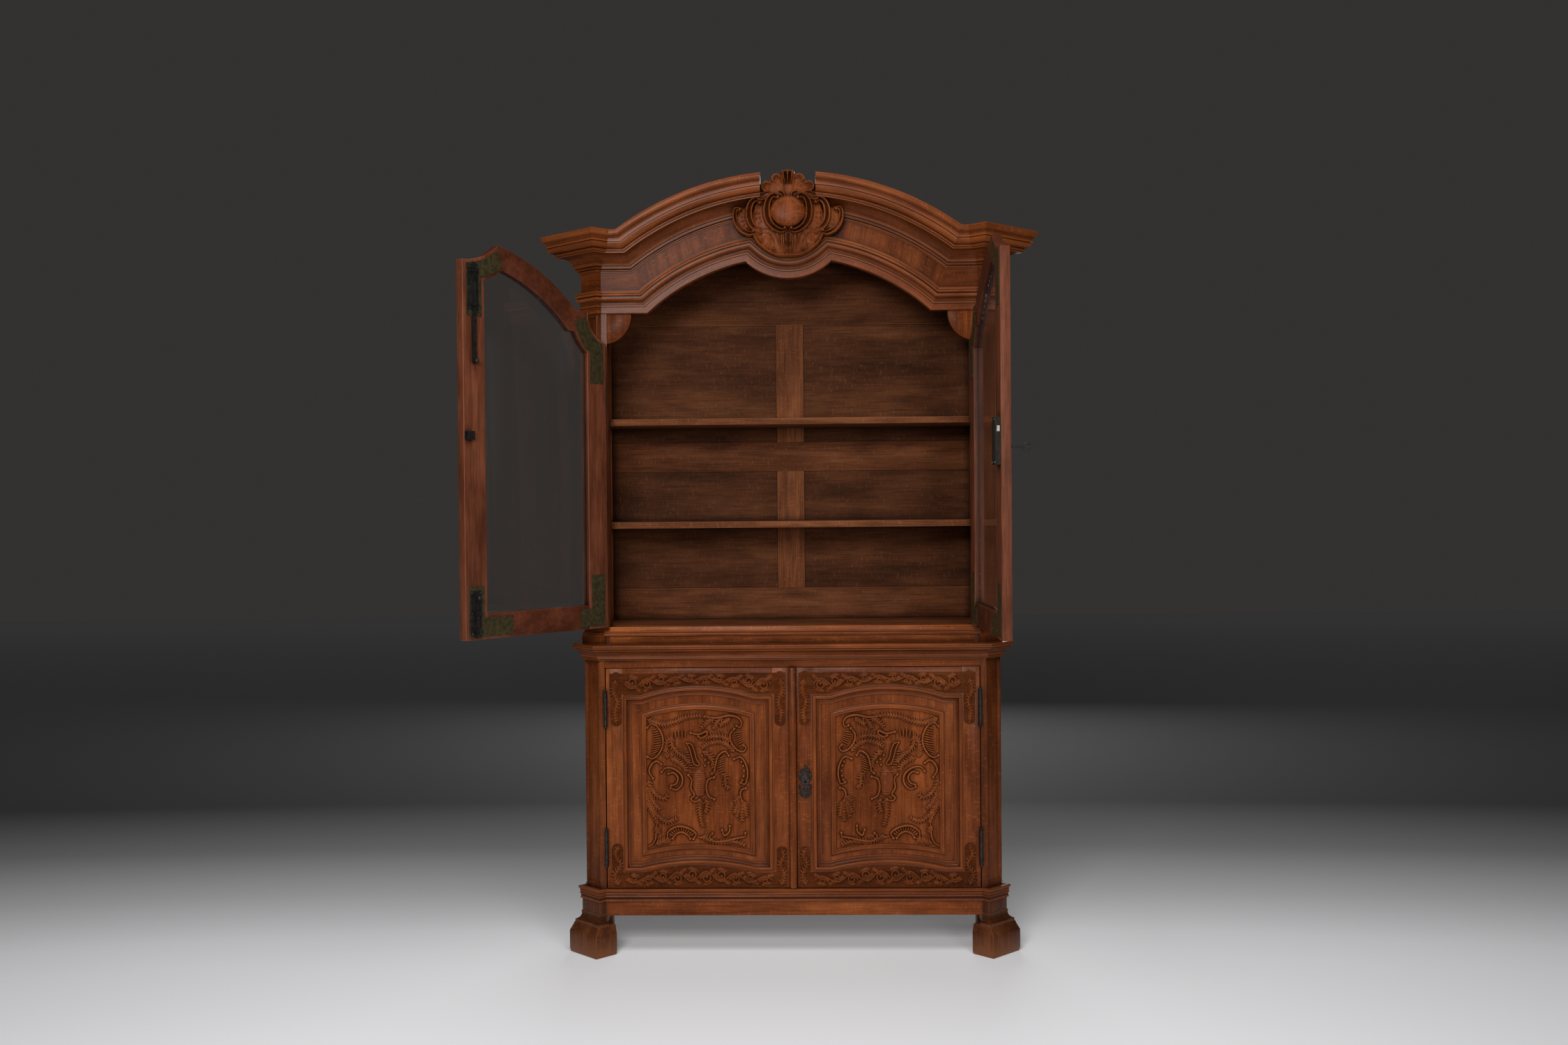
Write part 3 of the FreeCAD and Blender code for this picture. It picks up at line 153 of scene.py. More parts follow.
# Finishes
class Finish:
    """A material whose nodes are added one after another."""

    def __init__(self, name):
        self.material = bpy.data.materials.new(name)
        self.material.use_nodes = True
        self.tree = self.material.node_tree
        self.shader = self.tree.nodes["Principled BSDF"]

    def add(self, kind, links=(), **values):
        return add_node(self.tree, kind, links, **values)

    def ramp(self, source, stops):
        made = self.add("ShaderNodeValToRGB", {"Fac": source})
        band = made.color_ramp
        while len(band.elements) < len(stops):
            band.elements.new(0.5)
        for element, (place, colour) in zip(band.elements, stops):
            element.position = place
            element.color = (*colour, 1)
        return made.outputs["Color"]

    def mix(self, share, first, second, blend="MIX"):
        links = {0: share, 6: first, 7: second}
        return self.add("ShaderNodeMix", links, data_type="RGBA", blend_type=blend).outputs[2]

    def math(self, operation, first, second):
        return self.add("ShaderNodeMath", {0: first, 1: second}, operation=operation).outputs[0]

    def noise(self, place, scale, detail, rough):
        links = {"Vector": place, "Scale": scale, "Detail": detail, "Roughness": rough}
        return self.add("ShaderNodeTexNoise", links).outputs["Fac"]

    def set(self, **sockets):
        for name, value in sockets.items():
            plug(self.tree, self.shader.inputs[name.replace("_", " ")], value)

    def bump(self, height, strength, distance):
        made = self.add("ShaderNodeBump", {"Height": height, "Strength": strength, "Distance": distance})
        self.set(Normal=made.outputs["Normal"])


UPRIGHT = (0, math.pi / 2, 0)
LEVEL = (0, 0, 0)
DEEP = (0, 0, math.pi / 2)


def toned(colour, factor):
    return (*[min(1, factor * part) for part in colour], 1)


def oak(name, tones, run=LEVEL, along="object", rough=0.3, sheen=0.09, fleck=0.45, reach=0.026):
    """Waxed oak: long figure, open pores and ray flecks along the grain, dark wax and painted shade in the
    hollows.

    The grain runs by the turn `run`, in space or along the path of a moulding. `fleck` is the share of
    ray flecks, and `reach` is how far from a corner the dark wax and painted shade spread, in metres.
    """
    wood = Finish(name)
    source = wood.add("ShaderNodeTexCoord").outputs["Object"]
    if along == "path":
        source = wood.add("ShaderNodeUVMap", uv_map="UVMap").outputs["UV"]
    turned = wood.add("ShaderNodeMapping", {"Vector": source, "Rotation": run}).outputs["Vector"]

    def grain(across, length, detail, rough):
        """Noise stretched along the run of the wood."""
        links = {"Vector": turned, "Scale": (length, across, across)}
        return wood.noise(wood.add("ShaderNodeMapping", links).outputs["Vector"], 1.0, detail, rough)

    def shaded(share, source, *stops):
        return wood.mix(share, base, wood.ramp(source, stops), "MULTIPLY")

    dark, middle, pale = tones
    base = wood.ramp(grain(9, 1.4, 4.0, 0.6), [(0.3, dark), (0.52, middle), (0.72, pale)])
    base = shaded(0.6, grain(75, 7, 4.0, 0.6), (0.35, (0.62, 0.58, 0.55)), (0.6, (1.08, 1.06, 1.04)))
    pores = grain(420, 9, 2.0, 0.5)
    base = shaded(0.6, pores, (0.36, (0.45, 0.4, 0.36)), (0.5, (1, 1, 1)))
    flecks = wood.ramp(grain(60, 170, 3.0, 0.6), [(0.56, (0, 0, 0)), (0.74, (1, 1, 1))])
    base = wood.mix(wood.math("MULTIPLY", flecks, fleck), base, toned(pale, 1.35))
    base = shaded(0.8, grain(14, 5, 4.0, 0.65), (0.32, (0.55, 0.5, 0.48)), (0.62, (1.12, 1.1, 1.08)))
    # Dark wax and painted shade in corners and between parts, from ambient occlusion
    corners = wood.add("ShaderNodeAmbientOcclusion", {"Distance": reach}, samples=6).outputs["AO"]
    base = shaded(0.9, corners, (0.34, (0.05, 0.035, 0.03)), (0.95, (1, 1, 1)))
    # Marked hollows darker with wax and painted shade, marked edges paler with wear and a painted highlight
    for label, tone in (("hollow", toned(dark, 0.22)), ("worn", toned(pale, 1.5))):
        share = wood.add("ShaderNodeAttribute", attribute_name=label).outputs["Fac"]
        base = wood.mix(share, base, tone)
    wood.set(Base_Color=base, Roughness=rough, Specular_IOR_Level=sheen)
    wood.bump(pores, 0.25, 0.0006)
    return wood.material


# Tones of the wood, each from dark to pale, and the finishes made with them
OAK_TONES = ((0.098, 0.0235, 0.0060), (0.174, 0.0440, 0.0108), (0.245, 0.0730, 0.0205))
# A darker copy of the oak tones: painted shade on the frieze, the ears and the cupboard rails and their
# carving
SHADED_OAK_TONES = ((0.078, 0.0188, 0.0048), (0.140, 0.0355, 0.0088), (0.196, 0.0590, 0.0165))
# Darker oak for the corner posts: partly darker wood, partly painted shade on their canted faces
DARKER_AND_SHADED_POST_TONES = ((0.072, 0.0175, 0.0042), (0.120, 0.030, 0.0070), (0.170, 0.050, 0.0130))
PANEL_TONES = ((0.055, 0.0180, 0.0068), (0.090, 0.0300, 0.0110), (0.130, 0.0470, 0.0175))
SHELF_TONES = ((0.090, 0.0290, 0.0110), (0.135, 0.0450, 0.0170), (0.185, 0.0680, 0.0260))
MUNTIN_TONES = ((0.118, 0.0380, 0.0145), (0.176, 0.0590, 0.0220), (0.240, 0.0880, 0.0340))
RED_TONES = ((0.092, 0.0270, 0.0122), (0.140, 0.0430, 0.0200), (0.194, 0.0660, 0.0315))
# A darker copy of the red tones: painted shade on the inner faces of the glazed doors' rails
SHADED_RED_RAIL_TONES = ((0.056, 0.0150, 0.0066), (0.086, 0.0236, 0.0106), (0.118, 0.0362, 0.0165))
# A paler copy of the oak tones: painted light on the plinth rail, which lies in the shade of the sill
LIT_SILL_TONES = ((0.132, 0.0330, 0.0084), (0.236, 0.0620, 0.0152), (0.330, 0.1020, 0.0290))
FOOT_TONES = ((0.052, 0.0165, 0.0064), (0.090, 0.0285, 0.0105), (0.136, 0.0500, 0.0205))
DRY = {"rough": 0.65, "sheen": 0.06, "fleck": 0.5}
STAINED = {"rough": 0.5, "sheen": 0.1, "fleck": 0.1}
oak_upright = oak("oak_upright", OAK_TONES, UPRIGHT)
oak_level = oak("oak_level", OAK_TONES, LEVEL)
oak_path = oak("oak_path", OAK_TONES, along="path")
frieze_level = oak("frieze_oak_level", SHADED_OAK_TONES, along="path", sheen=0.04)
frieze_across = oak("frieze_oak_across", SHADED_OAK_TONES, DEEP, along="path", sheen=0.04, fleck=0.6)
ear_upright = oak("ear_oak", SHADED_OAK_TONES, UPRIGHT, sheen=0.03)
lit_sill_level = oak("sill_oak", LIT_SILL_TONES, LEVEL)
crest_upright = oak("crest_oak", OAK_TONES, UPRIGHT, sheen=0.045)
carved_upright = oak("carved_oak_upright", OAK_TONES, UPRIGHT, sheen=0.05, reach=0.009)
carved_level = oak("carved_oak_level", SHADED_OAK_TONES, LEVEL, sheen=0.03, reach=0.012)
rail_level = oak("rail_oak", SHADED_OAK_TONES, LEVEL)
oak_post = oak("oak_post", DARKER_AND_SHADED_POST_TONES, UPRIGHT)
foot_upright = oak("foot_oak", FOOT_TONES, UPRIGHT)
panel_upright = oak("panel_oak_upright", PANEL_TONES, UPRIGHT, **DRY)
panel_level = oak("panel_oak_level", PANEL_TONES, LEVEL, **DRY)
shelf_level = oak("shelf_oak_level", SHELF_TONES, LEVEL, **DRY)
muntin_upright = oak("muntin_oak", MUNTIN_TONES, UPRIGHT, **DRY)
red_upright = oak("red_oak_upright", RED_TONES, UPRIGHT, **STAINED)
red_level = oak("red_oak_level", SHADED_RED_RAIL_TONES, LEVEL, **STAINED)


def metal(name, colour, roughness, stain, metallic=1.0):
    """Old metal: its colour clouded by a darker stain, with a slightly uneven face."""
    made = Finish(name)
    place = made.add("ShaderNodeTexCoord").outputs["Object"]
    cloud = made.noise(place, 90.0, 4.0, 0.6)
    tone = made.ramp(cloud, [(0.35, stain), (0.62, colour)])
    made.set(Base_Color=tone, Metallic=metallic, Roughness=roughness)
    made.bump(made.noise(place, 320.0, 3.0, 0.6), 0.15, 0.0005)
    return made.material


black_iron = metal("black_iron", (0.030, 0.027, 0.025), 0.5, (0.012, 0.010, 0.009), 0.7)
dull_brass = metal("dull_brass", (0.075, 0.058, 0.021), 0.55, (0.032, 0.026, 0.011), 0.65)
lock_iron = metal("lock_iron", (0.022, 0.017, 0.009), 0.8, (0.010, 0.008, 0.005), 0.6)
worn_steel = metal("worn_steel", (0.22, 0.21, 0.195), 0.4, (0.10, 0.094, 0.086))


def window_glass():
    """Old clear glass, so thin that little of it shows."""
    pane = Finish("window_glass")
    pane.set(Base_Color=(0.93, 0.95, 0.94, 1), Roughness=0.03, IOR=1.45)
    pane.set(Transmission_Weight=1.0, Alpha=0.25)
    return pane.material


clear_glass = window_glass()

SLOT_LOOK = {
    "oak": oak_upright,
    "inner_oak": panel_upright,
    "window_glass": clear_glass,
    "black_iron": black_iron,
    "dull_brass": dull_brass,
    "worn_steel": worn_steel,
}
LEVEL_NODES = ("base_rail", "lower_top_rail", "waist_board", "arch_header")
SHELF_NODES = ("upper_bottom_board", "lower_display_shelf", "upper_display_shelf", "cupboard_shelf",
               "roof_board", "lower_bottom_board")
NODE_LOOK = {
    **dict.fromkeys(LEVEL_NODES, oak_level),
    **dict.fromkeys(SHELF_NODES, shelf_level),
    "back_panels": panel_level,
    "key": black_iron,
    "lock_case": lock_iron,
}
slots = {row["node"]: row["material_slot"] for row in frame["record"]["subparts"]}
for label, item in nodes.items():
    item.data.materials.clear()
    item.data.materials.append(NODE_LOOK.get(label, SLOT_LOOK[slots[label]]))


# Making and hanging pieces
WELD = 1e-6
FLAT_ANGLE = math.radians(0.5)
# Paleness of rounded edges: wear and a painted highlight
EDGE_WEAR_AND_HIGHLIGHT = 0.45
OPEN_ANGLE = {"left": 128, "right": 92}
MUNTIN_HALF = 0.06
TOP_BOARD = 2.03


def finish_piece(item, body, slot, finish=None, replaces=(), sharp=32):
    """Shade a made mesh, give it its finish and let it ride on its body."""
    mesh = item.data
    if finish is not None:
        mesh.materials.clear()
        mesh.materials.append(finish)
    mesh.shade_smooth()
    mesh.set_sharp_from_angle(angle=math.radians(sharp))
    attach(item, body)
    if replaces:
        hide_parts(*replaces)
    return item


cabinet_piece = partial(finish_piece, body="cabinet", slot="oak")


def new_object(name, verts, faces, attributes=None):
    mesh = bpy.data.meshes.new(name)
    mesh.from_pydata([tuple(v) for v in verts], [], [tuple(f) for f in faces])
    for label, values in (attributes or {}).items():
        values = np.asarray(values, float)
        kind = "FLOAT_VECTOR" if values.ndim == 2 else "FLOAT"
        layer = mesh.attributes.new(label, kind, "POINT")
        layer.data.foreach_set("vector" if values.ndim == 2 else "value", values.ravel())
    return placed(name, mesh)


def renamed(item, name):
    item.name = item.data.name = name
    return item


def joined(name, items):
    """Several made meshes as one piece."""
    with bpy.context.temp_override(active_object=items[0], selected_editable_objects=items):
        bpy.ops.object.join()
    return renamed(items[0], name)


def mend(item):
    """Merge doubles, close open ends and turn the faces outwards."""
    with reshaping(item.data) as work:
        bmesh.ops.remove_doubles(work, verts=work.verts, dist=WELD)
        close_ends(work)
    return item


def rub_edges(work, worn, ease, steep):
    """Round the edges that turn by more than `steep` degrees and mark the middle of each round for pale
    wear and a painted highlight.
    """
    sharp = [edge for edge in work.edges if edge.calc_face_angle(0) > math.radians(steep)]
    shape = {"offset": ease, "segments": 2, "profile": 0.5, "affect": "EDGES", "clamp_overlap": True}
    rubbed = bmesh.ops.bevel(work, geom=sharp, **shape)
    rounds = set(rubbed["faces"])
    for vert in rubbed["verts"]:
        if all(face in rounds for face in vert.link_faces):
            vert[worn] = EDGE_WEAR_AND_HIGHLIGHT


def eased(node, body, looks, choose=None, ease=0.0018):
    """A copy of a plain board, its edges rounded and paler with wear and a painted highlight; `choose`
    picks a look for each face.
    """
    mesh = nodes[node].data.copy()
    item = placed(f"waxed_{node}", mesh)
    mesh.name = item.name
    with reshaping(mesh) as work:
        bmesh.ops.remove_doubles(work, verts=work.verts, dist=WELD)
        bmesh.ops.dissolve_limit(work, angle_limit=FLAT_ANGLE, verts=work.verts, edges=work.edges)
        rub_edges(work, work.verts.layers.float.new("worn"), ease, 35)
        cut_wide_faces(work)
    mesh.materials.clear()
    for look in looks:
        mesh.materials.append(look)
    if choose:
        for face in mesh.polygons:
            across = [mesh.vertices[place].co.x for place in face.vertices]
            face.material_index = choose(face.normal, face.center, max(across) - min(across))
    return finish_piece(item, body, slots[node], replaces=[node], sharp=40)


def facing(angle, side):
    """Where the outer face of a glazed door points when the door stands open by this angle."""
    turn = math.radians(angle)
    return Vector((side * math.sin(turn), -math.cos(turn), 0))


for hand, side in (("left", -1), ("right", 1)):
    outside = facing(OPEN_ANGLE[hand], side)
    glazed, cupboard = f"{hand}_glazed", f"{hand}_cupboard"
    for part, looks, cupboard_look in (
        ("stiles", [red_upright, oak_upright], oak_upright),
        ("rails", [red_level, oak_level], rail_level),
    ):
        eased(f"{glazed}_{part}", f"{glazed}_door", looks,
              lambda normal, centre, width: int(normal.dot(outside) > 0.5))
        eased(f"{cupboard}_{part}", f"{cupboard}_door", [cupboard_look])
eased("astragal", "left_cupboard_door", [oak_upright], ease=0.001)
for node in (
    "base_rail", "lower_top_rail", "waist_board", "rear_posts", "side_rails", "side_panels",
    "upper_bottom_board", "lower_display_shelf", "upper_display_shelf", "cupboard_shelf",
    "lower_back_boards", "shelf_cleats",
):
    eased(node, "cabinet", [nodes[node].data.materials[0]])
eased("arch_ears", "cabinet", [ear_upright])
# The plinth rail in paler oak, as painted light
eased("plinth_rail", "cabinet", [lit_sill_level])


def back_look(normal, centre, width):
    """Which look a face of the back frame has: top board, muntin or rail."""
    if centre.z > TOP_BOARD:
        return 2
    return int(abs(centre.x) < MUNTIN_HALF and width < 2 * MUNTIN_HALF)


eased("back_frame", "cabinet", [shelf_level, muntin_upright, panel_level], back_look)


# Sections of mouldings, drawn in millimetres
ARC_POINTS = 7
WEAR_AND_SHADING_MARGIN = 2.2
# Inward turns of a section get wax and painted shade, outward turns wear and a painted highlight
HOLLOW_TURN, HOLLOW_WAX_AND_SHADE = 0.7, 0.88
WEAR_AND_HIGHLIGHT_TURN, WEAR_AND_HIGHLIGHT_SHARE = 1.6, 0.34


def section(*steps):
    """Closed outline with its wax and painted shade and its wear and painted highlight at each point; each
    step is (x, y) or (x, y, bulge).

    The bulge is the rise of an arc over its chord, as a share of the chord.
    """
    outline = [np.array(steps[0][:2], float)]
    for step in list(steps[1:]) + [steps[0][:2]]:
        start, end = outline[-1], np.array(step[:2], float)
        if len(step) == 3:
            outline += arc_points(start, end, step[2])[1:]
        else:
            outline += guarded(start, end)[1:]
    points = np.array(outline) / 1000
    return points, *edge_wear_and_shading(points)


def arc_points(start, end, bulge):
    """Points along an arc, which bulges to the right of its chord."""
    chord = end - start
    length = np.linalg.norm(chord)
    rise = bulge * length
    radius = (length**2 / 4 + rise**2) / (2 * abs(rise))
    right = np.array([chord[1], -chord[0]]) / length
    centre = (start + end) / 2 + right * (rise - math.copysign(radius, rise))
    first = math.atan2(*(start - centre)[::-1])
    sweep = math.atan2(*(end - centre)[::-1]) - first
    sweep = (sweep + math.pi) % (2 * math.pi) - math.pi
    angles = first + sweep * np.linspace(0, 1, ARC_POINTS)
    return [centre + radius * np.array([math.cos(angle), math.sin(angle)]) for angle in angles]


def guarded(start, end):
    """Straight step with a point close to each end, so that the wear and painted highlight, and the wax and
    painted shade, stay at the edges.
    """
    length = np.linalg.norm(end - start)
    if length < 4 * WEAR_AND_SHADING_MARGIN:
        return [start, end]
    share = WEAR_AND_SHADING_MARGIN / length
    return [start, start + (end - start) * share, end - (end - start) * share, end]


def edge_wear_and_shading(points):
    """How much wax and painted shade each point of a closed outline gets where the outline turns inwards,
    and how much wear and painted highlight where it turns outwards, from the turn of the outline there.
    """
    ring = points[:-1]
    before, after = ring - np.roll(ring, 1, axis=0), np.roll(ring, -1, axis=0) - ring
    turn = np.arctan2(before[:, 0] * after[:, 1] - before[:, 1] * after[:, 0], (before * after).sum(axis=1))
    area = (ring[:, 0] * np.roll(ring[:, 1], -1) - ring[:, 1] * np.roll(ring[:, 0], -1)).sum()
    turn = np.append(turn, turn[0]) * math.copysign(1, area)
    return np.clip(-turn / HOLLOW_TURN, 0, 1) * HOLLOW_WAX_AND_SHADE, np.clip(turn / WEAR_AND_HIGHLIGHT_TURN, 0, 1) * WEAR_AND_HIGHLIGHT_SHARE


def moulding_rule():
    """Node tree: a section carried along the stations of a path, mitred by each station's vectors."""
    inputs = (("Path", "Geometry"), ("Section", "Object"), ("Stations", "Int"), ("Section Points", "Int"),
              ("Finish", "Material"))
    tree, add = rule_tree("moulding", inputs, "Moulding")
    given = add("NodeGroupInput").outputs
    shape = add("GeometryNodeObjectInfo", {"Object": given["Section"]}).outputs["Geometry"]
    index = add("GeometryNodeInputIndex").outputs[0]
    links = {0: index, 1: given["Section Points"]}
    station = add("FunctionNodeIntegerMath", links, operation="DIVIDE_FLOOR")
    corner = add("FunctionNodeIntegerMath", links, operation="MODULO")

    def named(label, kind):
        return add("GeometryNodeInputNamedAttribute", {"Name": label}, data_type=kind).outputs["Attribute"]

    def picked(geometry, label, place, kind):
        """The value that one point of a path or section has under this label, or its position."""
        value = named(label, kind) if label else add("GeometryNodeInputPosition").outputs[0]
        links = {"Geometry": geometry, "Value": value, "Index": place.outputs[0]}
        return add("GeometryNodeSampleIndex", links, data_type=kind, domain="POINT").outputs["Value"]

    def stored(body, label, value, kind, domain):
        links = {"Geometry": body, "Name": label, "Value": value}
        return add("GeometryNodeStoreNamedAttribute", links, data_type=kind, domain=domain).outputs[0]

    def vector(operation, first, second):
        links = {0: first, "Scale" if operation == "SCALE" else 1: second}
        return add("ShaderNodeVectorMath", links, operation=operation).outputs[0]

    base, across, outward = (
        picked(given["Path"], label, station, "FLOAT_VECTOR") for label in (None, "across", "outward")
    )
    along = picked(given["Path"], "along", station, "FLOAT")
    profile = add("ShaderNodeSeparateXYZ", {0: picked(shape, None, corner, "FLOAT_VECTOR")}).outputs
    moved = vector("ADD", vector("SCALE", across, profile["X"]), vector("SCALE", outward, profile["Y"]))
    place = vector("ADD", base, moved)
    counts = {"Vertices X": given["Stations"], "Vertices Y": given["Section Points"]}
    body = add("GeometryNodeMeshGrid", counts).outputs["Mesh"]
    body = add("GeometryNodeSetPosition", {"Geometry": body, "Position": place}).outputs[0]
    # Wax with painted shade, and wear with painted highlight, carried from the section onto the moulding
    for label in ("hollow", "worn"):
        body = stored(body, label, picked(shape, label, corner, "FLOAT"), "FLOAT", "POINT")
    girth = picked(shape, "girth", corner, "FLOAT")
    grain = add("ShaderNodeCombineXYZ", {"X": along, "Y": girth}).outputs[0]
    body = stored(body, "grain", grain, "FLOAT_VECTOR", "POINT")
    body = stored(body, "UVMap", named("grain", "FLOAT_VECTOR"), "FLOAT2", "CORNER")
    body = add("GeometryNodeRemoveAttribute", {"Geometry": body, "Name": "grain"}).outputs[0]
    close_rule(add, body, given["Finish"], "Moulding")
    return tree


MOULDING_RULE = moulding_rule()


def grown(item, tree, **given):
    """The plain mesh that a node tree makes from an object; the object itself goes."""
    modifier = item.modifiers.new("rule", "NODES")
    modifier.node_group = tree
    for socket in tree.interface.items_tree:
        key = socket.name.replace(" ", "_").lower()
        if socket.in_out == "INPUT" and key in given:
            modifier[socket.identifier] = given[key]
    bpy.context.view_layer.update()
    evaluated = item.evaluated_get(bpy.context.evaluated_depsgraph_get())
    mesh = bpy.data.meshes.new_from_object(evaluated)
    made = placed(item.name + "_made", mesh)
    bpy.data.objects.remove(item)
    return made


def moulding(path, profile, out, closed=False, leans=(), rises=(None, None), finish=oak_path):
    """A section carried along a flat path; its x lies to the left of the path as `out` faces the eye.

    `leans` and `rises` bend the section's x at single stations and its y at the two ends.
    """
    path, out = np.array(path, float), np.array(out, float)
    if closed:
        path = np.vstack([path, path[:1]])
    steps = np.diff(path, axis=0)
    lengths = np.linalg.norm(steps, axis=1)
    left = np.cross(out, steps / lengths[:, None])
    before, after = np.vstack([left[:1], left]), np.vstack([left, left[-1:]])
    if closed:
        before[0], after[-1] = left[-1], left[0]
    across = (before + after) / (1 + (before * after).sum(axis=1))[:, None]
    outward = np.tile(out, (len(path), 1))
    for place, lean in enumerate(leans):
        if lean is not None:
            across[place] = lean
    for place, rise in zip((0, -1), rises):
        if rise is not None:
            outward[place] = rise
    along = np.concatenate([[0], np.cumsum(lengths)])
    spine = new_object("spine", path, [], {"across": across, "outward": outward, "along": along})
    points, hollow, worn = profile
    girth = np.concatenate([[0], np.cumsum(np.linalg.norm(np.diff(points, axis=0), axis=1))])
    flat = np.column_stack([points, np.zeros(len(points))])
    shape = new_object("shape", flat, [], {"hollow": hollow, "worn": worn, "girth": girth})
    counts = {"stations": len(path), "section_points": len(points)}
    made = grown(spine, MOULDING_RULE, section=shape, finish=finish, **counts)
    bpy.data.objects.remove(shape)
    return mend(made)


UP = (0, 0, 1)
FORWARD = (0, -1, 0)
BACKWARD = (0, 1, 0)
SIDES = (-1, 1)


def flipped(points, side):
    """Plan of the right-hand side, or its mirror image walked the same way round."""
    points = [np.array(point, float) for point in points]
    if side > 0:
        return points
    return [point * np.array([-1] + [1] * (len(point) - 1)) for point in points][::-1]


# Plans of the blocks on the canted corners, as seen on the right-hand side
UPPER_CANT = 0.057
LOWER_CANT = 0.052
CANT_OUT = np.array([1, -1]) * math.sqrt(0.5)
CANT_ALONG = np.array([1, 1]) * math.sqrt(0.5)


def corner_plan(half, cant, face, proud):
    """Four points round a block whose face has this width and stands this far proud of the cant."""
    middle = np.array([half - cant / 2, FRONT + cant / 2]) + CANT_OUT * proud
    near, far = (middle + side * CANT_ALONG * face / 2 for side in SIDES)
    return [(near[0] + near[1] - FRONT, FRONT), tuple(near), tuple(far), (half, far[0] + far[1] - half)]


PILASTER_PLAN = corner_plan(UPPER_HALF, UPPER_CANT, face=0.080, proud=0.0155)
NECK_PLAN = corner_plan(LOWER_HALF, LOWER_CANT, face=0.092, proud=0.0135)
FOOT_PLAN = corner_plan(LOWER_HALF, LOWER_CANT, face=0.138, proud=0.048)

# The arched front: an arc between the springs, with a round pendant in its middle
EAR_REACH = 0.1293
ARCH_RISE = 0.173
ARCH_SPRING = OPENING_HALF - EAR_REACH
ARCH_RADIUS = (ARCH_SPRING**2 + ARCH_RISE**2) / (2 * ARCH_RISE)
ARCH_CENTRE = LINTEL + ARCH_RISE - ARCH_RADIUS
PENDANT_RADIUS = 0.197
PENDANT_DROP = 0.068
PENDANT_CENTRE = LINTEL + ARCH_RISE - PENDANT_DROP + PENDANT_RADIUS
ARCHITRAVE_HEIGHT = 0.071
CORNICE_FOOT = 0.139
CORNICE_TOP = 0.251
CORNICE_BREAK = 0.086


def level(points, z):
    """A plan laid at one height."""
    return [(point[0], point[1], z) for point in points]


def arch_point(angle, radius=ARCH_RADIUS):
    return (radius * math.sin(angle), FRONT, ARCH_CENTRE + radius * math.cos(angle))


def pendant_corner():
    """Angles at which the arch and the pendant's round cross, seen from their own centres."""
    apart = PENDANT_CENTRE - ARCH_CENTRE
    rise = (apart**2 + ARCH_RADIUS**2 - PENDANT_RADIUS**2) / (2 * apart)
    half = math.sqrt(ARCH_RADIUS**2 - rise**2)
    return math.atan2(half, rise), math.atan2(half, apart - rise)


SPRING_ANGLE = math.atan2(ARCH_SPRING, LINTEL - ARCH_CENTRE)


def arch_edge(with_pendant):
    """Edge of the opening from the left spring to the right one."""
    corner, dip = pendant_corner()
    if not with_pendant:
        return [arch_point(angle) for angle in np.linspace(-SPRING_ANGLE, SPRING_ANGLE, 61)]
    left = [arch_point(angle) for angle in np.linspace(-SPRING_ANGLE, -corner, 26)]
    round_part = [
        (PENDANT_RADIUS * math.sin(angle), FRONT, PENDANT_CENTRE - PENDANT_RADIUS * math.cos(angle))
        for angle in np.linspace(-dip, dip, 27)[1:-1]
    ]
    right = [arch_point(angle) for angle in np.linspace(corner, SPRING_ANGLE, 26)]
    return left + round_part + right


ARCHITRAVE = section(
    (0, 0), (2.5, 0), (4, 1.5, 0.2), (4, 20), (6, 22), (6, 25), (3, 27), (3, 29), (8, 40, -0.22),
    (12, 47, 0.12), (12, 50), (9, 51), (9, 54), (13, 62, 0.4), (9, 69, 0.4), (9, 71), (0, 71),
)


def spring_reach(height):
    """How far from the middle a level line at this height over the lintel meets its own arch."""
    return math.sqrt((ARCH_RADIUS + height)**2 - (LINTEL - ARCH_CENTRE + height)**2)


def arch_leans(path, height, first, start):
    """Across vectors that turn evenly from one station of the arch to the mitre at the spring.

    At that station, at the angle `start` on the path, the top of the moulding lies at the angle `first`.
    """
    last = math.atan2(spring_reach(height), LINTEL - ARCH_CENTRE + height)
    share = (last - first) / (SPRING_ANGLE - start)
    leans = []
    for x, y, z in path:
        angle = math.atan2(x, z - ARCH_CENTRE)
        on_arch = abs(math.hypot(x, z - ARCH_CENTRE) - ARCH_RADIUS) < WELD and abs(angle) > first + WELD
        top = math.copysign(first + (abs(angle) - start) * share, angle)
        lean = (np.array(arch_point(top, ARCH_RADIUS + height)) - (x, y, z)) / height
        leans.append(lean if on_arch else None)
    return leans


def swapped(profile):
    """A section with its height laid across the path, for runs that follow the arched front."""
    points, hollow, worn = profile
    return points[:, ::-1], hollow, worn


def corner_runs(profile, height, finish=oak_path):
    """A moulding along both sides and round the pilasters, mitred where the arch springs."""
    slope = (spring_reach(height) - ARCH_SPRING) / height
    runs = []
    for side in SIDES:
        walk = [(UPPER_HALF, BACK)] + PILASTER_PLAN[::-1] + [(ARCH_SPRING, FRONT)]
        rise = (side * slope, 0, 1)
        rises = (None, rise) if side > 0 else (rise, None)
        runs.append(moulding(level(flipped(walk, side), LINTEL), profile, UP, rises=rises, finish=finish))
    return runs


def arch_run(profile, height, with_pendant, finish):
    """A moulding along the edge of the opening, with or without the pendant's round."""
    path = arch_edge(with_pendant)
    first = pendant_corner()[0] if with_pendant else 0.0
    leans = arch_leans(path, height, first, first)
    return moulding(path, swapped(profile), FORWARD, leans=leans, finish=finish)


def whole_run(profile, height, with_pendant=False, finish=oak_path, arch_finish=oak_path):
    """A moulding along both sides, round the pilasters and over the arch."""
    return corner_runs(profile, height, finish) + [arch_run(profile, height, with_pendant, arch_finish)]


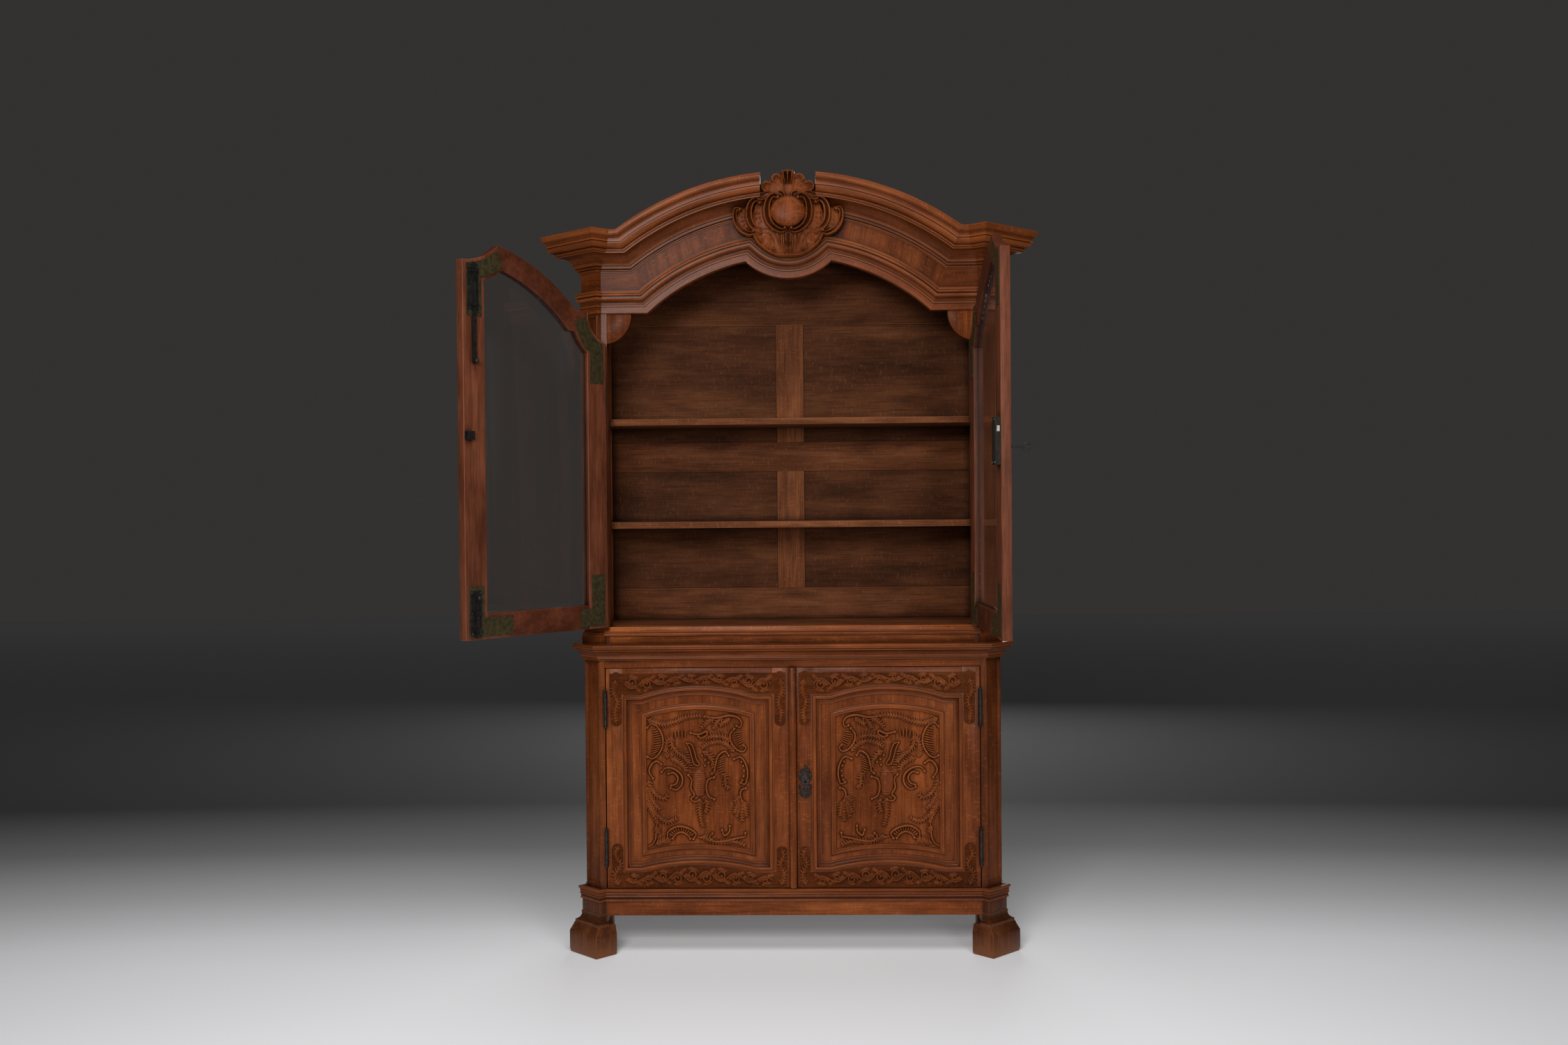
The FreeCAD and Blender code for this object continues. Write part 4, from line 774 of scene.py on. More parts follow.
# Architrave, frieze bead and cornice
FRIEZE = section((0, 70), (1, 70), (1, 130), (0, 130))
FRIEZE_BEAD = section((0, 129), (4, 129), (4, 131.5), (8, 135, 0.3), (4, 138.5, 0.3), (0, 139))
CORNICE_FACE = (
    (0, 139), (11, 139), (13, 141, 0.2), (13, 147), (17, 149), (52, 183, -0.2), (56, 183), (56, 187),
    (60, 195, 0.28), (64, 196), (76, 215, 0.2), (79, 215), (79, 221), (84, 231, -0.16), (90, 241, 0.16),
    (90, 248), (86, 251, 0.2),
)
corner_cornice = joined("corner_cornice", corner_runs(section(*CORNICE_FACE, (0, 251)), CORNICE_TOP))
cabinet_piece(corner_cornice, replaces=["cornice_corner_blocks"])


def arched_cornice():
    """The two halves of the broken arch, cut upright at the break."""
    profile = swapped(section(*CORNICE_FACE, (-28, 251), (-28, 231), (0, 231)))
    first = math.asin(CORNICE_BREAK / (ARCH_RADIUS + CORNICE_TOP))
    start = math.asin(CORNICE_BREAK / ARCH_RADIUS)
    halves = []
    for side in SIDES:
        angles = np.linspace(start, SPRING_ANGLE, 44)
        path = flipped([arch_point(angle) for angle in angles], side)
        halves.append(moulding(path, profile, FORWARD, leans=arch_leans(path, CORNICE_TOP, first, start)))
    return joined("arched_cornice", halves)


cabinet_piece(arched_cornice(), replaces=["cornice_arches"])
architrave = whole_run(ARCHITRAVE, ARCHITRAVE_HEIGHT, True) + whole_run(FRIEZE_BEAD, CORNICE_FOOT)
cabinet_piece(joined("architrave", architrave), replaces=["architrave_mouldings"])
frieze = whole_run(FRIEZE, CORNICE_FOOT, False, frieze_level, frieze_across)
cabinet_piece(joined("frieze", frieze))

# Waist moulding and base moulding, each one walk from the right rear corner round the front
WAIST_HEIGHT = 0.050
WAIST = section(
    (0, 0), (7, 0), (7, 3), (9, 4), (11, 8, 0.3), (11, 10), (13, 10), (30, 31, -0.2), (32, 31), (32, 35),
    (34, 36), (38, 43, 0.25), (34, 50, 0.25), (0, 50),
)
BASE_HEIGHT = 0.040
BASE = section(
    (0, 0), (2, 0), (3.5, 3, 0.3), (2.5, 7, 0.2), (3, 14), (4.5, 18, 0.3), (4, 22), (5, 26), (6, 31, -0.2),
    (8, 33), (8, 37), (6.5, 40, 0.25), (0, 40),
)
waist_walk = [(LOWER_HALF, BACK), (LOWER_HALF, FRONT + LOWER_CANT), (LOWER_HALF - LOWER_CANT, FRONT)]
base_walk = [(LOWER_HALF, BACK)] + NECK_PLAN[::-1]


def girdle(name, walk, profile, z, node):
    """A moulding round both sides and the front, from half of its walk."""
    run = moulding(level(walk + flipped(walk, -1), z), profile, UP)
    cabinet_piece(renamed(run, name), replaces=[node])


girdle("waist", waist_walk, WAIST, WAIST_TOP - WAIST_HEIGHT, "waist_moulding")
girdle("base_band", base_walk, BASE, BASE_TOP - BASE_HEIGHT, "base_moulding")

# Feet: a canted block with sloping shoulders under a square neck
FOOT_DEPTH = 0.084
FOOT_SHOULDER = 0.096
FOOT_EASE = 0.0025
NECK_LAP = 0.001
# Level of each ring of the block, how far its front and its sides stand back, and its wear
FOOT_RINGS = (
    (0, 0.003, 0.003, 0.8), (0.012, 0, 0, 0.62), (0.034, 0, 0, 0.28), (0.068, 0, 0, 0),
    (0.072, 0.002, 0.001, 0), (0.082, 0.009, 0.003, 0), (FOOT_SHOULDER, 0.017, 0.006, 0),
)


def stacked(name, rings, worn):
    """A closed piece from rings of points, each ring above the last."""
    count = len(rings[0])
    numbers = [list(range(first, first + count)) for first in range(0, count * len(rings), count)]
    faces = [numbers[0], numbers[-1]]
    for low, high in zip(numbers, numbers[1:]):
        faces += walls(low, high)
    verts = [point for ring in rings for point in ring]
    return mend(new_object(name, verts, faces, {"worn": np.repeat(worn, count)}))


def foot(side):
    """The block and the neck of one foot."""
    near, far = (np.array(place) for place in FOOT_PLAN[1:3])
    back = CANT_OUT * FOOT_DEPTH
    rings = []
    for z, front, flank, _ in FOOT_RINGS:
        left, right = near + CANT_ALONG * flank, far - CANT_ALONG * flank
        plan = (left - CANT_OUT * front, right - CANT_OUT * front, right - back, left - back)
        rings.append([(side * x, y, z) for x, y in plan])
    block = stacked("foot_block", rings, [ring[3] for ring in FOOT_RINGS])
    plan = [(CUPBOARD_HALF, FRONT)] + NECK_PLAN + [(LOWER_HALF, POST_DEPTH), (CUPBOARD_HALF, POST_DEPTH)]
    rings = [[(side * x, y, z) for x, y in plan] for z in (FOOT_SHOULDER - NECK_LAP, BASE_TOP)]
    return block, stacked("foot_neck", rings, [0, 0])


def moulded_feet():
    feet = joined("moulded_feet", [piece for side in SIDES for piece in foot(side)])
    with reshaping(feet.data) as work:
        rub_edges(work, work.verts.layers.float["worn"], FOOT_EASE, 50)
    return feet


cabinet_piece(moulded_feet(), finish=foot_upright, replaces=["front_feet"])

# Collars on the feet, plinth blocks of the pilasters and the bead of the plinth rail
COLLAR = section((0, 0), (16, 0), (16, 5), (14, 7, 0.2), (2, 32, -0.2), (2, 34), (0, 35))
PLINTH = section((0, 0), (6, 0), (6, 30), (4, 33), (4, 36), (0, 42, -0.2))
SILL_BEAD = section((0, 26), (2, 26), (7, 31, 0.3), (3, 36, 0.3), (3, 40), (0, 42))


def block_bands(plan, z, profile):
    """A moulding round the corner block on each side, at one height."""
    return [moulding(level(flipped(plan[::-1], side), z), profile, UP) for side in SIDES]


collars = block_bands(NECK_PLAN, FOOT_SHOULDER, COLLAR)
cabinet_piece(joined("foot_collars", collars), finish=foot_upright)
plinths = block_bands(PILASTER_PLAN, WAIST_TOP, PLINTH)
sill = [(side * PILASTER_PLAN[0][0], FRONT, WAIST_TOP) for side in (1, -1)]
plinths.append(moulding(sill, SILL_BEAD, UP))
cabinet_piece(joined("plinth_bands", plinths))


# Corner posts with a sunk, moulded panel down the canted face
def sunk_posts(name, plan, cant, levels, steps, node):
    """Posts on both sides; the panel lies on the canted edge of the plan, between the middle levels."""
    work = bmesh.new()
    for side in SIDES:
        walk = flipped(plan, side)
        rings = [[work.verts.new((x, y, z)) for x, y in walk] for z in levels]
        bands = [
            [work.faces.new(corners) for corners in walls(low, high)] for low, high in zip(rings, rings[1:])
        ]
        panel = bands[1][cant if side > 0 else len(walk) - 2 - cant]
        work.faces.new(rings[0][::-1])
        work.faces.new(rings[-1])
        for inset, depth in steps:
            bmesh.ops.inset_individual(work, faces=[panel], thickness=inset, depth=-depth)
    bmesh.ops.recalc_face_normals(work, faces=work.faces)
    cabinet_piece(shaped(name, work), finish=oak_post, replaces=[node], sharp=25)


# Width and depth of each step from the rim of the panel to its ground
PANEL_STEPS = ((0.010, 0.0), (0.002, -0.002), (0.003, 0.0), (0.003, 0.004), (0.005, 0.003), (0.002, 0.0))
LOWER_LEVELS = (BASE_TOP, 0.222, 0.925, 0.957)
UPPER_LEVELS = (WAIST_TOP, WAIST_TOP + 0.048, LINTEL - 0.006, LINTEL + 0.200)
lower_plan = [
    (CUPBOARD_HALF, POST_DEPTH), (CUPBOARD_HALF, FRONT), (LOWER_HALF - LOWER_CANT, FRONT),
    (LOWER_HALF, FRONT + LOWER_CANT), (LOWER_HALF, POST_DEPTH),
]
sunk_posts("lower_posts", lower_plan, 2, LOWER_LEVELS, PANEL_STEPS, "lower_corner_posts")
upper_plan = [
    (OPENING_HALF, POST_DEPTH), (OPENING_HALF, FRONT), *PILASTER_PLAN, (UPPER_HALF, POST_DEPTH),
]
sunk_posts("pilasters", upper_plan, 3, UPPER_LEVELS, PANEL_STEPS, "upper_corner_posts")


# Carving
LINE_STEP = 0.0008
# Shares of wax with painted shade in carved hollows, and of wear with painted highlight on raised parts
CARVED_WAX_AND_SHADE, CARVED_WEAR_AND_HIGHLIGHT = 0.85, 0.5


def smooth_path(points):
    """Points along a smooth line through the given ones, and the share of its length at each."""
    given = np.array(points, float) / 1000
    padded = np.vstack([2 * given[0] - given[1], given, 2 * given[-1] - given[-2]])
    line = []
    for place in range(len(given) - 1):
        p0, p1, p2, p3 = padded[place:place + 4]
        count = max(3, int(np.linalg.norm(p2 - p1) / LINE_STEP))
        s = np.linspace(0, 1, count, endpoint=False)[:, None]
        line.append(0.5 * (2 * p1 + (p2 - p0) * s + (2 * p0 - 5 * p1 + 4 * p2 - p3) * s**2
                           + (3 * p1 - p0 - 3 * p2 + p3) * s**3))
    line = np.vstack(line + [given[-1:]])
    length = np.concatenate([[0], np.cumsum(np.linalg.norm(np.diff(line, axis=0), axis=1))])
    return line, length / length[-1]


def spread(values, share):
    """Values in millimetres, spread evenly over the length of a line."""
    values = np.array(values, float) / 1000
    if len(values) == 1:
        return np.full_like(share, values[0])
    return np.interp(share, np.linspace(0, 1, len(values)), values)


def blurred(field, reach):
    """Soft copy of a field, evened out over about `reach` cells each way."""
    size = int(3 * reach) + 1
    weights = np.exp(-0.5 * (np.arange(-size, size + 1) / reach)**2)
    weights /= weights.sum()
    for axis in (0, 1):
        padded = np.pad(field, [(size, size) if axis == place else (0, 0) for place in (0, 1)], mode="edge")
        cells = np.arange(field.shape[axis])
        field = sum(weight * np.take(padded, shift + cells, axis) for shift, weight in enumerate(weights))
    return field


# A finger of a leaf, along the midrib and away from it, as shares of its length
FINGER_BEND = ((0, 0), (0.3, 0.2), (0.64, 0.46), (0.86, 0.78))


class Carving:
    """Heights over a flat ground, in an upright plane; where cuts overlap, the higher one shows."""

    def __init__(self, low, high, pitch):
        self.pitch = pitch / 1000
        xs = np.arange(low[0], high[0] + pitch, pitch) / 1000
        zs = np.arange(low[1], high[1] + pitch, pitch) / 1000
        self.x, self.z = np.meshgrid(xs, zs, indexing="ij")
        self.height = np.zeros_like(self.x)
        self.cover = np.full_like(self.x, -1.0)
        self.fence = np.full_like(self.x, 1.0)

    def window(self, low, high):
        """The cells between two corners."""
        first = np.searchsorted(self.x[:, 0], low[0]), np.searchsorted(self.z[0], low[1])
        last = np.searchsorted(self.x[:, 0], high[0]), np.searchsorted(self.z[0], high[1])
        return slice(first[0], last[0]), slice(first[1], last[1])

    def lay(self, window, height, cover):
        """Put a shape on the ground; `cover` is the distance from its rim, below zero outside."""
        self.height[window] = np.maximum(self.height[window], np.where(cover > 0, height, 0))
        self.cover[window] = np.maximum(self.cover[window], cover)

    def stroke(self, points, width, height, form="round", lobes=0, mirror=False):
        """A cut along a line: half widths and heights are lists spread evenly over its length."""
        line, share = smooth_path(points)
        wide, tall = spread(width, share), spread(height, share)
        if lobes:
            wide = wide * (0.66 + 0.34 * np.abs(np.sin(math.pi * lobes * share)) ** 0.7)
        margin = wide.max()
        window = self.window(line.min(axis=0) - margin, line.max(axis=0) + margin)
        x, z = self.x[window], self.z[window]
        if not x.size:
            return
        apart = (x[..., None] - line[:, 0])**2 + (z[..., None] - line[:, 1])**2
        near = apart.argmin(axis=2)
        away = np.sqrt(apart.min(axis=2))
        u = np.clip(away / np.maximum(wide[near], 1e-5), 0, 1)
        t = share[near]
        if form == "channel":
            shape = np.sqrt(1 - u**6) * (1 - 0.2 * np.cos(math.pi * u / 2)**2 - 0.1 * np.exp(-(u / 0.2)**2))
        elif form == "scoop":
            shape = np.sqrt(1 - u**8) * (0.66 + 0.34 * u**2)
        elif form == "flat":
            shape = 1 - u**6
        elif form == "leaf":
            veins = 0.5 + 0.5 * np.cos(2 * math.pi * (lobes * t - 0.55 * u)) if lobes else 0
            shape = np.sqrt(1 - u**2)**0.8 * (1 - 0.34 * veins * u) - 0.25 * np.exp(-(u / 0.16)**2)
        else:
            shape = np.sqrt(1 - u**2)
        self.lay(window, tall[near] * shape, wide[near] - away)
        if mirror:
            self.stroke([(-a, b) for a, b in points], width, height, form, lobes)

    def frond(self, points, spacing, length, width, height):
        """A leaf: a tapering midrib, and curved fingers that peel off on both sides of it."""
        line = smooth_path(points)[0]
        fingers = max(3, round(sum(math.dist(*pair) for pair in zip(points, points[1:])) / spacing))
        finger_width = [share * width for share in (0.7, 1, 0.95, 0.5)]
        finger_height = [share * height for share in (0.6, 0.85, 0.6)]
        for count in range(fingers):
            place = int((count + 0.1) / (fingers + 0.4) * (len(line) - 2))
            ahead = (line[place + 1] - line[place]) / np.linalg.norm(line[place + 1] - line[place])
            reach = length * (1 - 0.4 * count / fingers)
            for side in SIDES:
                across = side * np.array([-ahead[1], ahead[0]])
                steps = [reach * (along * ahead + out * across) for along, out in FINGER_BEND]
                self.stroke([1000 * line[place] + step for step in steps], finger_width, finger_height)
        rib_width = [share * width for share in (0.6, 1, 0.9, 0.2)]
        self.stroke(points, rib_width, [share * height for share in (0.9, 1, 0.7)], "leaf")

    def flutes(self, first, last, count, width, height):
        """Ribs side by side from one line to another, as in a shell."""
        lines = [smooth_path(line)[0] for line in (first, last)]
        widths = [share * width for share in (0.6, 1, 0.8)]
        heights = [share * height for share in (0.7, 1, 0.7)]
        for share in np.linspace(0.03, 0.97, count):
            start, end = (1000 * line[int(share * (len(line) - 1))] for line in lines)
            self.stroke((start, (start + end) / 2, end), widths, heights)

    def button(self, x, z, radius, height, mirror=False):
        """The round eye that ends a scroll."""
        x, z, radius, height = (value / 1000 for value in (x, z, radius, height))
        window = self.window((x - radius, z - radius), (x + radius, z + radius))
        away = np.hypot(self.x[window] - x, self.z[window] - z)
        u = np.clip(away / radius, 0, 1)
        shape = np.sqrt(1 - u**2) * 0.35 + 0.65 - 0.2 * np.exp(-((u - 0.62) / 0.14)**2)
        self.lay(window, height * shape, radius - away)
        if mirror:
            self.button(-1000 * x, 1000 * z, 1000 * radius, 1000 * height)

    def dome(self, x, z, wide, high, low, rise, power=2.0):
        """A cushion: an oval that rises from one height to another."""
        x, z, wide, high = (value / 1000 for value in (x, z, wide, high))
        window = self.window((x - wide, z - high), (x + wide, z + high))
        away = np.hypot((self.x[window] - x) / wide, (self.z[window] - z) / high)
        u = np.clip(away, 0, 1)
        self.lay(window, (low + (rise - low) * (1 - u**power)**0.6) / 1000, (1 - away) * min(wide, high))

    def mesh(self, name, ground, origin, back, depth, ground_wax_and_shade=0.0, reach=0.0035):
        """The carving as a closed piece, down to `back`.

        Wax and painted shade gather in hollows of this depth, measured over `reach`, and the low ground
        gets more of both by its own share; raised parts get wear and a painted highlight.
        """
        height = blurred(self.height, 0.6)
        soft = blurred(height, reach / self.pitch)
        # Painted shade with wax in the hollows and on the low ground; painted highlight with wear on the
        # raised parts
        hollow = np.clip((soft - height) / depth + ground_wax_and_shade * (height < 0.4 * depth), 0, 1) * CARVED_WAX_AND_SHADE
        worn = np.clip((height - soft) / (2 * depth) - 0.1, 0, 1) * CARVED_WEAR_AND_HIGHLIGHT
        x, z = self.x.copy(), self.z.copy()
        cover = np.minimum(self.cover, self.fence)
        kept = cover > 0
        slope_x, slope_z = np.gradient(cover, self.pitch)
        steep = np.maximum(np.hypot(slope_x, slope_z), 0.3)
        rim = kept & (cover < 1.2 * self.pitch)
        x[rim] -= (slope_x / steep**2 * cover)[rim]
        z[rim] -= (slope_z / steep**2 * cover)[rim]
        cell = kept[:-1, :-1] & kept[1:, :-1] & kept[1:, 1:] & kept[:-1, 1:]
        number = np.arange(x.size).reshape(x.shape)
        corners = [number[:-1, :-1], number[1:, :-1], number[1:, 1:], number[:-1, 1:]]
        quads = np.stack(corners, axis=-1)[cell]
        used, quads = np.unique(quads, return_inverse=True)
        quads = quads.reshape(-1, 4)
        places = [origin[0] + x.ravel(), ground - height.ravel(), origin[1] + z.ravel()]
        verts = np.column_stack(places)[used]
        item = new_object(name, verts, quads, {"hollow": hollow.ravel()[used], "worn": worn.ravel()[used]})
        with reshaping(item.data) as work:
            rim = [edge for edge in work.edges if edge.is_boundary]
            for vert in corners_of(bmesh.ops.extrude_edge_only(work, edges=rim)):
                vert.co.y = back
            close_ends(work)
        return item


WHOLE = (slice(None), slice(None))
CARVING_SINK = 0.001

# Crest: a shell over a framed boss, drawn in millimetres from the middle of the boss
CREST_MIDDLE = (0, 2.330)


# Cuts on the left and their mirror images: form, lobes, half widths, heights and line
CREST_CUTS = (
    ("scoop", 0, (4, 10, 14, 15), (50, 54, 60, 64), ((-21, 49), (-45, 52), (-66, 51), (-84, 46))),
    ("scoop", 0, (5, 12, 18, 20), (54, 56, 58, 64), ((-16, 54), (-37, 68), (-54, 75), (-66, 77))),
    ("scoop", 0, (4, 10, 15, 18), (56, 52, 54, 60), ((-8, 49), (-19, 75), (-29, 93), (-35, 102))),
    ("round", 0, (4, 7, 4), (62, 60, 54), ((-9, 40), (-13, 57), (-27, 62))),
    ("leaf", 5, (8, 16, 16, 8), (44, 48, 48, 44), ((-88, 20), (-95, -4), (-90, -29), (-70, -47))),
    ("leaf", 6, (9, 16, 16, 8), (38, 42, 42, 40), ((-134, 4), (-140, -18), (-131, -40), (-112, -55))),
    ("channel", 0, (6, 8, 9, 10, 10, 9, 6), (46, 46, 45, 44, 44, 46, 46),
     ((-153, 10), (-162, 10), (-166, -8), (-161, -32), (-145, -53), (-122, -65), (-105, -62))),
    ("channel", 0, (7, 10, 12, 13, 13, 12, 10, 5), (54, 54, 54, 54, 53, 52, 50, 46),
     ((-85, 28), (-92, 38), (-105, 37), (-117, 22), (-122, -6), (-116, -34), (-97, -53), (-62, -62))),
    ("round", 0, (6,), (44,), ((-107, -69), (-92, -95), (-67, -117), (-35, -132), (0, -135))),
    ("channel", 0, (6, 9, 11, 10, 9, 6), (50, 50, 52, 52, 50, 46),
     ((-88, -67), (-76, -59), (-58, -63), (-44, -79), (-38, -100), (-42, -117))),
    ("round", 0, (4, 7, 6), (48, 50, 44), ((-27, -66), (-27, -96), (-22, -122))),
    ("round", 0, (4, 7, 6), (50, 54, 46), ((-14, -64), (-14, -96), (-11, -125))),
    ("channel", 0, (7, 10, 12, 14, 14, 14, 12, 10, 7), (62,),
     ((-31, 40), (-38, 49), (-51, 46), (-62, 30), (-66, 1), (-61, -27), (-46, -48), (-24, -60), (-8, -58))),
)
# Eyes of the scrolls: place, radius and height
CREST_EYES = (
    (-150, 7, 9, 48), (-108, -59, 9, 48), (-87, 27, 10, 57), (-86, -66, 8, 52), (-44, -116, 8, 50),
    (-31, 41, 11, 66), (-10, -53, 10, 64),
)


def crest_carving():
    crest = Carving((-178, -141), (178, 134), pitch=1.2)
    crest.dome(0, -25, 112, 112, 36, 44, 6)
    crest.dome(0, 58, 88, 52, 36, 46, 4)
    crest.dome(0, -1, 55, 49, 52, 66, 4)
    for side in SIDES:
        crest.dome(side * 132, -24, 34, 38, 28, 37, 4)
        crest.dome(side * 66, -90, 22, 29, 34, 46)
    for form, lobes, width, height, line in CREST_CUTS:
        crest.stroke(line, width, height, form, lobes, mirror=True)
    for eye in CREST_EYES:
        crest.button(*eye, mirror=True)
    crest.stroke(((0, 30), (0, 58), (0, 88), (0, 107)), (2, 12, 21, 25), (62, 58, 60, 66), "scoop")
    crest.stroke(((0, -62), (0, -94), (0, -129)), (7, 11, 8), (52, 58, 48), "leaf", 3)
    for shift in (-15, 0, 15):
        crest.stroke(((shift * 0.5, 84), (shift * 0.8, 104), (shift, 121)), (2, 5, 8), (54, 62, 70))
    return crest.mesh("crest_carving", FRONT - 0.002, CREST_MIDDLE, FRONT + CARVING_SINK, depth=0.009)


cabinet_piece(crest_carving(), finish=crest_upright, replaces=["crest"], sharp=60)

# Carved cupboard doors, drawn in millimetres from the middle of the left panel
DOOR_MIDDLE = (-0.2985, 0.537)
FIELD_SCROLLS = (
    ((21, 215), (61, 211), (97, 218), (126, 212), (138, 196), (133, 181), (122, 185)),
    ((115, 176), (102, 158), (105, 133), (122, 111), (142, 104), (151, 115), (144, 123)),
    ((-160, 181), (-146, 193), (-128, 184), (-113, 156), (-111, 127), (-124, 98), (-143, 83), (-160, 89)),
    ((-117, 65), (-132, 75), (-148, 63), (-155, 42), (-143, 20)),
    ((-116, 40), (-103, 53), (-78, 51), (-54, 31), (-51, 4), (-69, -16), (-88, -10)),
    ((-94, 35), (-77, 38), (-64, 22), (-70, 4), (-86, -3)),
    ((97, 91), (85, 105), (64, 91), (55, 64), (51, 42), (43, 34)),
    ((113, 80), (135, 86), (151, 62), (156, 31), (148, 2), (134, 6)),
    ((50, 23), (31, 15), (25, -9), (32, -36), (50, -47)),
    ((-31, 30), (-21, 15), (-23, -11), (-13, -32), (-23, -44), (-13, -54), (3, -49)),
    ((150, -12), (137, -17), (132, -34), (138, -52)),
    ((-99, -170), (-97, -150), (-77, -135), (-54, -132), (-26, -141), (-9, -156), (-17, -172)),
    ((-82, -170), (-72, -156), (-54, -150), (-37, -158), (-27, -171)),
    ((43, -155), (34, -165), (48, -179), (79, -179), (115, -171), (144, -165), (147, -154)),
    ((98, -132), (96, -150), (81, -161), (74, -144)),
    ((-23, 164), (3, 159), (26, 168), (28, 157), (11, 148), (1, 153)),
)
FIELD_EDGES = (
    ((-37, 131), (-29, 118), (-21, 91), (-13, 66), (-2, 59)),
    ((-37, 131), (-21, 127), (-11, 104), (-6, 82), (4, 66), (-2, 59)),
)
FIELD_FRONDS = (
    ((-159, 207), (-135, 196), (-103, 191), (-68, 201), (-37, 213), (8, 218), (39, 211)),
    ((79, 213), (61, 200), (48, 171)),
    ((52, 210), (30, 198), (8, 176)),
    ((101, 211), (84, 196), (66, 185)),
    ((106, 136), (79, 151), (48, 153), (21, 147), (1, 147)),
    ((115, 104), (93, 127), (61, 136), (21, 123), (10, 113)),
    ((-97, 84), (-103, 113), (-97, 140), (-79, 156)),
    ((-81, 149), (-83, 124), (-63, 100), (-41, 84), (-28, 64)),
    ((-86, 82), (-63, 73), (-43, 55), (-37, 38)),
    ((-159, 13), (-148, -16), (-128, -37), (-106, -43), (-95, -27)),
    ((-162, -7), (-150, -40), (-135, -67), (-118, -81)),
    ((-164, -29), (-150, -69), (-126, -103), (-97, -118), (-64, -104)),
    ((-161, -52), (-144, -92), (-132, -118), (-126, -128)),
    ((-137, -134), (-132, -145), (-127, -158)),
    ((-137, -187), (-112, -179), (-92, -179)),
    ((7, -47), (3, -78), (6, -105), (15, -138)),
    ((22, -47), (28, -69), (19, -94)),
    ((15, 104), (32, 95), (46, 73), (48, 46)),
    ((72, 35), (86, 20), (84, 2), (99, -18)),
    ((137, -47), (124, -65), (110, -94)),
    ((137, -52), (126, -83), (119, -107)),
    ((138, -54), (137, -87), (137, -121)),
    ((140, -52), (148, -78), (151, -107)),
    ((133, -38), (119, -49), (111, -58)),
    ((8, -165), (26, -170), (48, -181), (79, -187)),
    ((61, -183), (97, -179), (124, -183), (151, -195)),
    ((-121, -183), (-103, -174), (-86, -181)),
)
FIELD_STEMS = (
    ((-132, -118), (-135, -150), (-137, -170), (-146, -187), (-161, -196)),
    ((-3, -165), (8, -168), (26, -165)),
)
FIELD_FLUTES = (
    (((-17, 40), (-14, 6), (-5, -34)),
     ((19, 40), (19, 6), (15, -34)), 11),
    (((-146, 176), (-141, 153), (-143, 127), (-150, 95)),
     ((-129, 178), (-116, 153), (-116, 127), (-128, 104)), 11),
    (((115, 164), (118, 142), (130, 118)),
     ((135, 167), (137, 147), (147, 129)), 7),
    (((66, 82), (59, 60), (64, 35)),
     ((85, 91), (79, 64), (79, 42)), 7),
    (((-79, -165), (-71, -154), (-54, -148), (-37, -155), (-29, -165)),
     ((-94, -158), (-79, -138), (-54, -134), (-28, -143), (-13, -156)), 11),
    (((-41, 104), (-34, 78), (-26, 51)),
     ((-29, 104), (-20, 78), (-9, 51)), 7),
    (((-81, 149), (-59, 147), (-39, 149)),
     ((-83, 164), (-63, 171), (-37, 171)), 5),
)
FIELD_BEADS = (
    (137, 71), (142, 58), (145, 42), (143, 26), (139, 13), (12, 91), (26, 95), (36, 84), (33, 69), (21, 60),
    (22, 78),
)
FIELD_HALF, FIELD_LOW, FIELD_HIGH = 182.5, -231, 228
FIELD_RIM = 6
FIELD_LIFT = 0.0015
OPENING_HALF_WIDTH, OPENING_LOW, OPENING_HIGH, OPENING_SHOULDER = 234.5, -271, 280, 56
SHOULDER_REACH = OPENING_HALF_WIDTH - OPENING_SHOULDER
FOOT_RISE, HEAD_RISE = 23, 29
BOW_POINTS = 25
CORNER_CLEAR = 32
PANEL_FACE = FRONT + 0.009
# Depth and reach of the wax and painted shade in the door carvings
DOOR_WAX_AND_SHADE = {"depth": 0.0011, "reach": 0.0022}


def bow(x, half, rise):
    """Height of a flat arc over the middle of its chord, zero beyond the ends."""
    radius = (half**2 + rise**2) / (2 * rise)
    return np.where(np.abs(x) < half, np.sqrt(np.maximum(radius**2 - x**2, 0)) - radius + rise, 0)


def panel_outline(half, low, high, shoulder):
    """Closed walk round a panel with bowed foot and head, against the clock as seen from the front."""
    reach = half - shoulder
    if shoulder:
        x = np.linspace(-reach, reach, BOW_POINTS)
        corners = ([(-half, low)], [(half, low), (half, high)], [(-half, high)])
    else:
        clear = reach - CORNER_CLEAR
        x = np.concatenate([[-reach], np.linspace(-clear, clear, BOW_POINTS), [reach]])
        corners = ([], [], [])
    foot_edge = np.column_stack([x, low + bow(x, reach, FOOT_RISE)])
    head_edge = np.column_stack([x, high + bow(x, reach, HEAD_RISE)])[::-1]
    first, second, last = (np.array(corner).reshape(-1, 2) for corner in corners)
    return np.vstack([first, foot_edge, second, head_edge, last])


def door_path(outline, y):
    """An outline in millimetres as a path on the left cupboard door."""
    return [(DOOR_MIDDLE[0] + x / 1000, y, DOOR_MIDDLE[1] + z / 1000) for x, z in outline]


